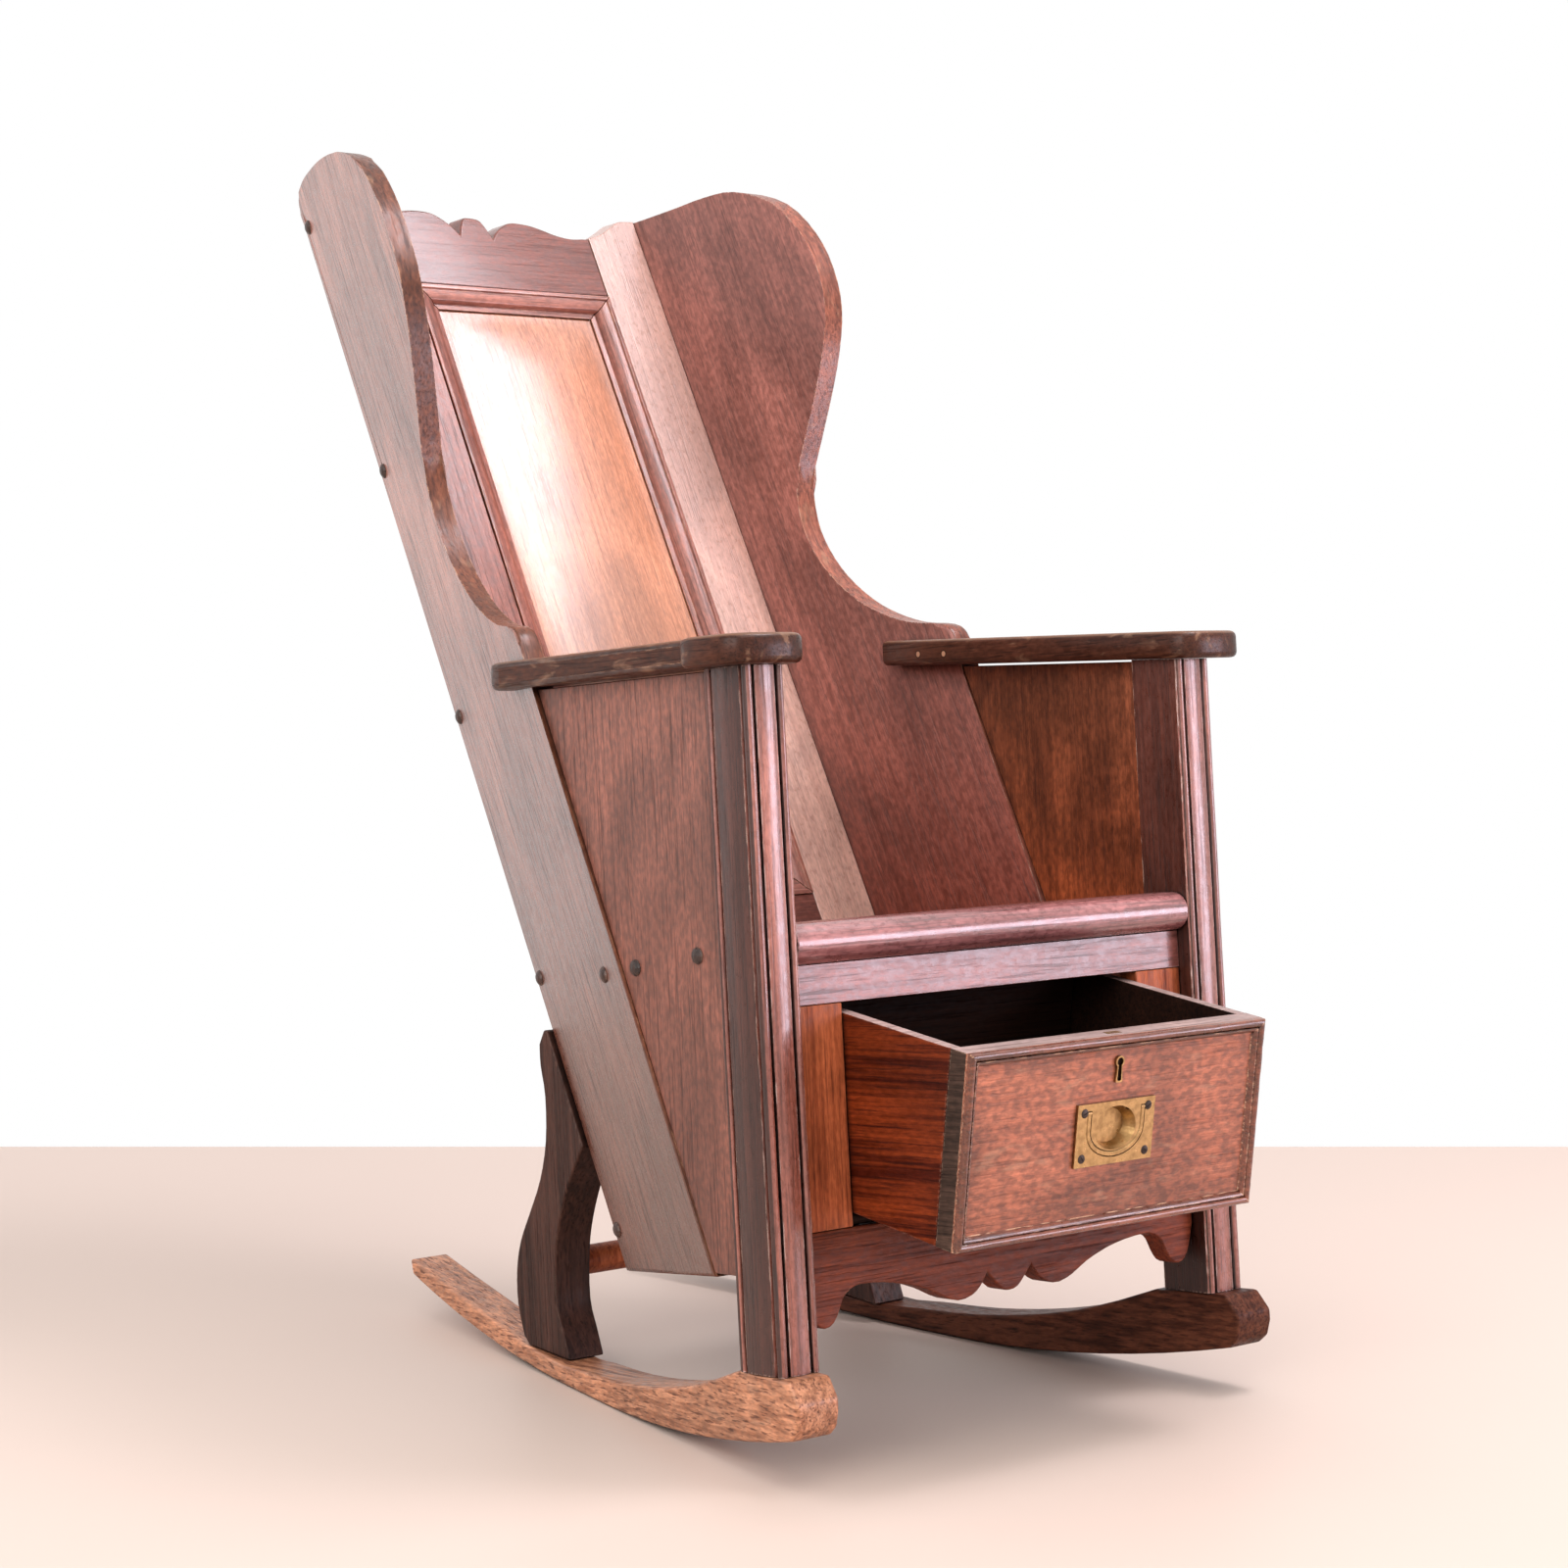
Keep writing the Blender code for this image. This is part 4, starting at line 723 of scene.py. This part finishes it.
def softened(node, look, radius):
    """A copy of a board with rounded arrises and the finishes of its faces."""
    made = bpy.data.objects.new(node + "_board", merged(node))
    made.data.materials.append(look)
    scene.collection.objects.link(made)
    if radius > 0.0:
        bevel = made.modifiers.new("arris", "BEVEL")
        bevel.width = radius
        bevel.segments = 2
        bevel.limit_method = "ANGLE"
        bevel.angle_limit = SOFT_ANGLE
        bevel.use_clamp_overlap = True
        flat = made.modifiers.new("flat_faces", "WEIGHTED_NORMAL")
        flat.weight = 80
        settle(made)
    for board, outward, other in FACES:
        if board == node:
            made.data.materials.append(finish[other])
            for face in made.data.polygons:
                if face.normal.dot(outward) > SQUARELY:
                    face.material_index = len(made.data.materials) - 1
    return made


body_of = {name: body for body, group in frame["record"]["behaviour"]["bodies"].items() for name in group}
face_count = 0
for node, (look, radius) in BOARDS.items():
    board = softened(node, finish[look], radius)
    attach(board, body_of[node])
    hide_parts(node)
    face_count += len(board.data.polygons)
print(len(BOARDS), "softened boards,", face_count, "faces")

# %% [markdown]
# ## The section of the front posts
# Each front post has a bead and a groove run along its edges with a scratch stock, and its wide
# faces are slightly crowned. Like the maker's blade, the section is drawn once, as a loop of
# points. A Bevel with a custom profile could not give the grooves.

# %% The post's section
POST_IN, POST_OUT = 0.230, 0.272
POST_FRONT, POST_BACK = -0.038, 0.021
SMALL_BEAD, CORNER_BEAD = 0.003, 0.0042     # radii
SMALL_GROOVE, FRONT_GROOVE = 0.0048, 0.0050     # depths
CROWN_FALL = 0.0016         # how far a crowned face falls towards its edges
FRONT_FLAT, SIDE_FLAT = 0.0105, 0.0115      # where a crowned face starts


def arc(x, y, radius, start, stop, steps):
    """Points along part of a circle, with angles in degrees."""
    turns = [math.radians(start + (stop - start) * i / steps) for i in range(steps + 1)]
    return [(x + radius * math.cos(t), y + radius * math.sin(t)) for t in turns]


def crown(start, stop, rise, steps=8):
    """Pairs of a place along a face and the fall of a crowned face there."""
    parts = [i / steps for i in range(steps + 1)]
    return [(start + (stop - start) * t, rise * (2.0 * t - 1.0) ** 2) for t in parts]


front_face = crown(POST_IN + FRONT_FLAT, POST_OUT - FRONT_FLAT, CROWN_FALL)
side_face = crown(POST_FRONT + SIDE_FLAT, POST_BACK - FRONT_FLAT, CROWN_FALL)
section = [(POST_IN, POST_BACK), (POST_IN, POST_FRONT + 0.0035)]
section += arc(POST_IN + 0.0045, POST_FRONT + SMALL_BEAD, SMALL_BEAD, 180, 360, 6)
section += [(POST_IN + inset, POST_FRONT + SMALL_GROOVE) for inset in (0.0080, 0.0092)]
section += [(x, POST_FRONT + fall) for x, fall in front_face]
section += [(POST_OUT - inset, POST_FRONT + FRONT_GROOVE) for inset in (0.0095, 0.0086)]
section += arc(POST_OUT - CORNER_BEAD, POST_FRONT + CORNER_BEAD, CORNER_BEAD, 180, 450, 12)
section += [(POST_OUT - FRONT_GROOVE, POST_FRONT + inset) for inset in (0.0088, 0.0100)]
section += [(POST_OUT - fall, y) for y, fall in side_face]
section += [(POST_OUT - SMALL_GROOVE, POST_BACK - inset) for inset in (0.0092, 0.0080)]
section += arc(POST_OUT - SMALL_BEAD, POST_BACK - 0.0045, SMALL_BEAD, -90, 90, 6)
section += [(POST_OUT - 0.0036, POST_BACK)]
print(len(section), "points round the post")

# %% [markdown]
# ## A strip run along its length
# Posts and mouldings are both one section carried along a line. A curve with a bevel object would
# do for an even strip, but these wander and are dented, so the rings of points are joined by hand.

# %% Strips
CORNER_TURN = math.radians(50.0)       # edges sharper than this stay crisp


def run_along(name, rings, looks):
    """A closed strip through rings of points, smooth along its length and crisp at its corners."""
    bm = bmesh.new()
    loops = [[bm.verts.new(spot) for spot in ring] for ring in rings]
    count = len(loops[0])
    for low, high in zip(loops, loops[1:]):
        for i in range(count):
            k = (i + 1) % count
            bm.faces.new((low[i], low[k], high[k], high[i]))
    bm.faces.new(loops[0])
    bm.faces.new(loops[-1])
    bmesh.ops.recalc_face_normals(bm, faces=bm.faces)
    for face in bm.faces:
        face.smooth = True
    mesh = bpy.data.meshes.new(name)
    bm.to_mesh(mesh)
    bm.free()
    mesh.set_sharp_from_angle(angle=CORNER_TURN)
    for look in looks:
        mesh.materials.append(look)
    made = bpy.data.objects.new(name, mesh)
    scene.collection.objects.link(made)
    return made


print("strips keep corners over", round(math.degrees(CORNER_TURN)), "degrees crisp")

# %% [markdown]
# ## Moulded front posts
# The section is drawn up the post in short steps. Each step wanders by a hair, as a hand-held
# blade does, so the light along the beads does too. The heads lie along the undersides of the arms.

# %% Front posts
POST_TALL = 0.584
POST_MIDDLE = (POST_FRONT + POST_BACK) / 2
HEAD_TILT = {"post_left": 0.0, "post_right": 0.050}     # slope of the arm over each head
HOME = Vector((0.0, -0.3486, 0.088))   # the foot of the post line in the shared frame
POST_STEPS = 48
WANDER = 0.00025            # how far the blade wandered


def post_spot(x, y, up, side):
    """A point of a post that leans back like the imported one, moved in by the blade's wander."""
    drift = noise.noise(Vector((x * 70.0, y * 70.0 + 9.0 * side, up * 16.0))) * WANDER
    inward_x = drift - WANDER if x > POST_IN + 0.02 else 0.0
    inward_y = WANDER - drift if y < POST_FRONT + 0.006 else 0.0
    return BACKWARD * (y + inward_y) + UP * up + ACROSS * (side * (x + inward_x)) + HOME


for node, side in (("post_left", -1.0), ("post_right", 1.0)):
    rings = []
    for step in range(POST_STEPS + 1):
        part = step / POST_STEPS
        rings.append([
            post_spot(x, y, (POST_TALL + HEAD_TILT[node] * (y - POST_MIDDLE)) * part, side)
            for x, y in section
        ])
    post = run_along(node + "_moulded", rings, (finish["post"], finish["post_front"]))
    # front faces get the lighter finish: rubbed wear and painted light
    for face in post.data.polygons:
        if face.normal.dot(BACKWARD) < -0.6:
            face.material_index = 1
    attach(post, "chair")
    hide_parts(node)
    print(post.name, len(post.data.polygons), "faces")

# %% [markdown]
# ## The moulding round the drawer front
# A cock bead and a small ovolo are planed on strips that frame the drawer front, with mitred
# corners. The section is given as a distance in from the edge and a height above the board,
# so a mitre needs no cutting: each point simply starts and stops at its own distance in.

# %% Drawer moulding
DRAWER_OUT = Vector((0.0, -0.99425, -0.10713))
MOULD_HALF = 0.1722
MOULD_LOW, MOULD_HIGH = 0.2483, 0.4143
MOULD_SEAT = 0.4579
MOULD_GAP = 0.0003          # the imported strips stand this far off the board, and glue fills it
MOULD_STEPS = 40
BEAD_WIDE = 0.007           # the bead is bruised, and the ovolo beside it is not
BRUISE = 0.0007             # how deep its dents go

profile = [(0.0002, -MOULD_GAP)] + arc(0.0036, 0.0026, 0.0034, 180, 10, 8)
profile += [(0.0074, 0.0020)]
profile += arc(0.0078, 0.0002, 0.0038, 90, 12, 5) + [(0.0124, -MOULD_GAP)]


def moulding_spot(edge, inset, height, t):
    """A point of the moulding: which edge, how far in, how high, and how far along."""
    wide = (MOULD_HALF - inset) * (2.0 * t - 1.0)
    tall = MOULD_LOW + inset + (MOULD_HIGH - MOULD_LOW - 2.0 * inset) * t
    x, up = {
        "top": (wide, MOULD_HIGH - inset), "bottom": (-wide, MOULD_LOW + inset),
        "left": (inset - MOULD_HALF, tall), "right": (MOULD_HALF - inset, MOULD_HIGH + MOULD_LOW - tall),
    }[edge]
    return ACROSS * x + DRAWER_UP * up + DRAWER_OUT * (MOULD_SEAT + height)


for edge in ("top", "bottom", "left", "right"):
    node = "drawer_moulding_" + edge
    rings = []
    for step in range(MOULD_STEPS + 1):
        t = step / MOULD_STEPS
        ring = []
        for inset, height in profile:
            dent = max(0.0, noise.noise(Vector((t * 23.0, inset * 300.0, 5.0 * len(edge))))) * BRUISE
            dent *= inset < BEAD_WIDE
            ring.append(moulding_spot(edge, inset, max(height - dent, -MOULD_GAP), t))
        rings.append(ring)
    strip = run_along(node + "_bead", rings, (finish["bead"],))
    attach(strip, "drawer")
    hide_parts(node)
    print(strip.name, len(strip.data.polygons), "faces")

# %% [markdown]
# ## Pegs, runners and brass
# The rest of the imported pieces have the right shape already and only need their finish.
# Old brass browns in its hollows and stays bright where fingers rub it, so Ambient Occlusion
# mixes the two colours. A single metal colour would look like new plate.

# %% Brass
TARNISH_REACH = 0.006       # how far the brown spreads out of a hollow
TARNISH_CLOUDS = 0.45       # how brown the clouds on open faces are


def old_brass(name, bright, brown, rough):
    """Metal that has browned in its hollows and in clouds."""
    material, tree, shader = graph(name)
    place = add(tree, "ShaderNodeTexCoord").outputs["Object"]
    cloud = add(tree, "ShaderNodeTexNoise", {"Vector": place, "Scale": 160.0, "Detail": 5.0}).outputs["Fac"]
    spots = add(tree, "ShaderNodeTexNoise", {"Vector": place, "Scale": 900.0, "Detail": 3.0}).outputs["Fac"]
    nooks = add(tree, "ShaderNodeAmbientOcclusion", {"Distance": TARNISH_REACH}, samples=4).outputs["AO"]
    patchy = arith(tree, "MULTIPLY", spread(tree, cloud, 0.35, 0.70), TARNISH_CLOUDS)
    tarnish = arith(tree, "ADD", patchy, spread(tree, nooks, 0.85, 0.35), clamp=True)
    colour = blend(tree, "MIX", tarnish, bright, brown)
    tree.links.new(colour, shader.inputs["Base Color"])
    shader.inputs["Metallic"].default_value = 1.0
    tree.links.new(spread(tree, cloud, 0.3, 0.7, rough - 0.08, rough + 0.14), shader.inputs["Roughness"])
    bump = add(tree, "ShaderNodeBump", {"Height": spots, "Strength": 0.12, "Distance": 0.0004})
    tree.links.new(bump.outputs["Normal"], shader.inputs["Normal"])
    return material


brass = old_brass("aged_brass", (0.46, 0.290, 0.125), (0.13, 0.066, 0.024), 0.34)
for node in ("handle_plate", "bail_handle", "keyhole_plate", "lock_bolt"):
    nodes[node].data.materials[0] = brass
for node in nodes:
    if node.startswith("stud_"):
        nodes[node].data.materials[0] = finish["peg"]
# near-black as painted shade under the seat
for node in ("drawer_bearer", "drawer_runner_left", "drawer_runner_right"):
    nodes[node].data.materials[0] = finish["inside"]
print("brass, pegs and runners finished")

# %% [markdown]
# ## The keyhole
# A thin brass liner is let into the drawer front, and its near-black floor is painted shade for the
# dark lock inside. Its shape is a circle over a slot that widens downwards, so one outline at two
# sizes makes the rim. A Boolean cut would do as well, but four loops give clean quads.

# %% Keyhole liner
KEY_TOP_R, KEY_FOOT = 0.0050, 0.0038
KEY_TALL = 0.0230
KEY_RIM = 0.0015
KEY_PROUD = 0.0008
KEY_BEDDED, KEY_DEEP = -0.0015, -0.0012     # the liner's back, and the floor of the hole
KEY_SLANT, KEY_CORNER = 0.0012, 0.001       # the cut corners of the foot


def keyhole(shrink):
    """The keyhole's outline, made smaller all round by a rim's width."""
    top = KEY_TALL / 2 - KEY_TOP_R
    loop = arc(0.0, top, KEY_TOP_R - shrink, -58, 238, 16)
    foot = -KEY_TALL / 2 + shrink
    left, right = -KEY_FOOT + shrink, KEY_FOOT - shrink
    return loop + [(left, foot + KEY_SLANT), (left + KEY_CORNER, foot),
                   (right - KEY_CORNER, foot), (right, foot + KEY_SLANT)]


key_points = [v.co for v in nodes["keyhole_plate"].data.vertices]
key_seat = max(p.dot(DRAWER_OUT) for p in key_points)
key_heights = [p.dot(DRAWER_UP) for p in key_points]
key_middle = DRAWER_UP * ((min(key_heights) + max(key_heights)) / 2)


def key_ring(bm, outline, out):
    """A loop of corners on the drawer front, so far out from its brass."""
    level = DRAWER_OUT * (key_seat + out)
    return [bm.verts.new(key_middle + ACROSS * x + DRAWER_UP * y + level) for x, y in outline]


bm = bmesh.new()
loops = [key_ring(bm, keyhole(0.0), KEY_BEDDED), key_ring(bm, keyhole(0.0), KEY_PROUD),
         key_ring(bm, keyhole(KEY_RIM), KEY_PROUD), key_ring(bm, keyhole(KEY_RIM), KEY_DEEP)]
count = len(loops[0])
for low, high in zip(loops, loops[1:]):
    for i in range(count):
        bm.faces.new((low[i], low[(i + 1) % count], high[(i + 1) % count], high[i]))
bottom = bm.faces.new(loops[-1])
bm.faces.new(list(reversed(loops[0])))
bmesh.ops.recalc_face_normals(bm, faces=bm.faces)
# the floor of the hole is near-black: painted shade
bottom.material_index = 1
key_mesh = bpy.data.meshes.new("keyhole_liner")
bm.to_mesh(key_mesh)
bm.free()
key_mesh.materials.append(brass)
key_mesh.materials.append(finish["inside"])
liner = bpy.data.objects.new("keyhole_liner", key_mesh)
scene.collection.objects.link(liner)
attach(liner, "drawer")
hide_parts("keyhole_plate")
print("keyhole liner:", len(key_mesh.polygons), "faces")

# %% [markdown]
# ## A screw head
# Four dark iron screws hold the flush handle. Each head is a low dome with a sawn slot. It is built
# from nodes, a flattened ball less a thin bar, so that its sizes stay inputs of the tree.

# %% The screw's head
SLOT_LONG = 2.4             # the slot's cutter is this many radii long


def slotted_head(group, radius, rise, slot_width):
    """A low dome with a slot cut across it."""
    dome = add(group, "GeometryNodeMeshUVSphere", {"Segments": 24, "Rings": 12, "Radius": radius})
    ratio = arith(group, "DIVIDE", rise, radius)
    flat = add(group, "ShaderNodeCombineXYZ", {"X": 1.0, "Y": 1.0, "Z": ratio})
    head = add(group, "GeometryNodeTransform", {
        "Geometry": dome.outputs["Mesh"], "Scale": flat.outputs["Vector"],
    })
    long = arith(group, "MULTIPLY", radius, SLOT_LONG)
    size = add(group, "ShaderNodeCombineXYZ", {"X": long, "Y": slot_width, "Z": rise})
    bar = add(group, "GeometryNodeMeshCube", {"Size": size.outputs["Vector"]})
    up = add(group, "ShaderNodeCombineXYZ", {"Z": rise})
    slot = add(group, "GeometryNodeTransform", {
        "Geometry": bar.outputs["Mesh"], "Translation": up.outputs["Vector"],
    })
    cut = add(group, "GeometryNodeMeshBoolean", operation="DIFFERENCE", solver="EXACT")
    group.links.new(head.outputs["Geometry"], cut.inputs["Mesh 1"])
    group.links.new(slot.outputs["Geometry"], cut.inputs["Mesh 2"])
    return cut.outputs["Mesh"]


print("the slot's cutter is", SLOT_LONG, "radii long")

# %% [markdown]
# ## Screws in the handle plate
# Each slot stopped where the turning stopped. One head repeated at four places is work for
# Geometry Nodes: the head is set on points, turned at random by a fixed seed, and made real at
# the end. Four copies made by hand would have to be turned one by one.

# %% The screw tree
SCREW_INPUTS = (("Head radius", "Float"), ("Head rise", "Float"), ("Slot width", "Float"),
                ("Facing", "Vector"), ("Seed", "Int"), ("Finish", "Material"))


def screw_tree():
    """A node group that sets slotted screw heads on the points of a mesh."""
    group = bpy.data.node_groups.new("slotted_screws", "GeometryNodeTree")
    face = group.interface
    face.new_socket("Geometry", in_out="INPUT", socket_type="NodeSocketGeometry")
    for name, kind in SCREW_INPUTS:
        face.new_socket(name, in_out="INPUT", socket_type="NodeSocket" + kind)
    face.new_socket("Geometry", in_out="OUTPUT", socket_type="NodeSocketGeometry")
    given = group.nodes.new("NodeGroupInput").outputs
    head = slotted_head(group, given["Head radius"], given["Head rise"], given["Slot width"])
    spots = add(group, "GeometryNodeMeshToPoints", {"Mesh": given["Geometry"]})
    outward = add(group, "FunctionNodeAlignRotationToVector", {"Vector": given["Facing"]}, axis="Z")
    on = add(group, "GeometryNodeInstanceOnPoints", {
        "Points": spots.outputs["Points"], "Instance": head, "Rotation": outward.outputs["Rotation"],
    })
    chance = add(group, "FunctionNodeRandomValue", {"Seed": given["Seed"]}, data_type="FLOAT")
    spin = add(group, "ShaderNodeCombineXYZ", {"Z": arith(group, "MULTIPLY", chance.outputs[1], math.pi)})
    turned = add(group, "GeometryNodeRotateInstances", {
        "Instances": on.outputs["Instances"], "Rotation": spin.outputs["Vector"], "Local Space": True,
    })
    solid = add(group, "GeometryNodeRealizeInstances", {"Geometry": turned.outputs["Instances"]})
    coated = add(group, "GeometryNodeSetMaterial", {
        "Geometry": solid.outputs["Geometry"], "Material": given["Finish"],
    })
    group.links.new(coated.outputs["Geometry"], group.nodes.new("NodeGroupOutput").inputs["Geometry"])
    return group


print("the screw tree has", len(SCREW_INPUTS), "inputs")

# %% [markdown]
# ## Setting the screws
# The plate's own corners say where its face is, so the screws sit on the brass wherever the drawer
# stands. A modifier's inputs are set by the socket's identifier, which is safe where names repeat.
# The result is turned into a plain mesh, because the export drops instances and modifiers.

# %% Four screws
SCREW_ACROSS, SCREW_UP = 0.0370, 0.0195
SCREW = {"Head radius": 0.0040, "Head rise": 0.0011, "Slot width": 0.0009, "Seed": 4}

iron = old_brass("dark_iron", (0.075, 0.058, 0.052), (0.018, 0.013, 0.011), 0.52)
plate_points = [v.co for v in nodes["handle_plate"].data.vertices]
front = max(p.dot(DRAWER_OUT) for p in plate_points)
heights = [p.dot(DRAWER_UP) for p in plate_points]
middle = DRAWER_OUT * front + DRAWER_UP * ((min(heights) + max(heights)) / 2)
places = []
for i in (-1, 1):
    for k in (-1, 1):
        places.append(middle + ACROSS * (SCREW_ACROSS * i) + DRAWER_UP * (SCREW_UP * k))
spot_mesh = bpy.data.meshes.new("plate_screws")
spot_mesh.from_pydata(places, [], [])
screws = bpy.data.objects.new("plate_screws", spot_mesh)
scene.collection.objects.link(screws)
setter = screws.modifiers.new("screws", "NODES")
setter.node_group = screw_tree()
given = {**SCREW, "Facing": DRAWER_OUT, "Finish": iron}
for item in setter.node_group.interface.items_tree:
    if item.in_out == "INPUT" and item.name in given:
        setter[item.identifier] = given[item.name]
settle(screws)
screws.data.materials.clear()
screws.data.materials.append(iron)
screws.data.polygons.foreach_set("material_index", [0] * len(screws.data.polygons))
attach(screws, "drawer")
proud = max(v.co.dot(DRAWER_OUT) - front for v in screws.data.vertices)
print("plate screws:", len(screws.data.polygons), "faces, standing", round(proud * 1000, 2), "mm proud")

# %% Finish
scene.view_settings.view_transform = "Standard"
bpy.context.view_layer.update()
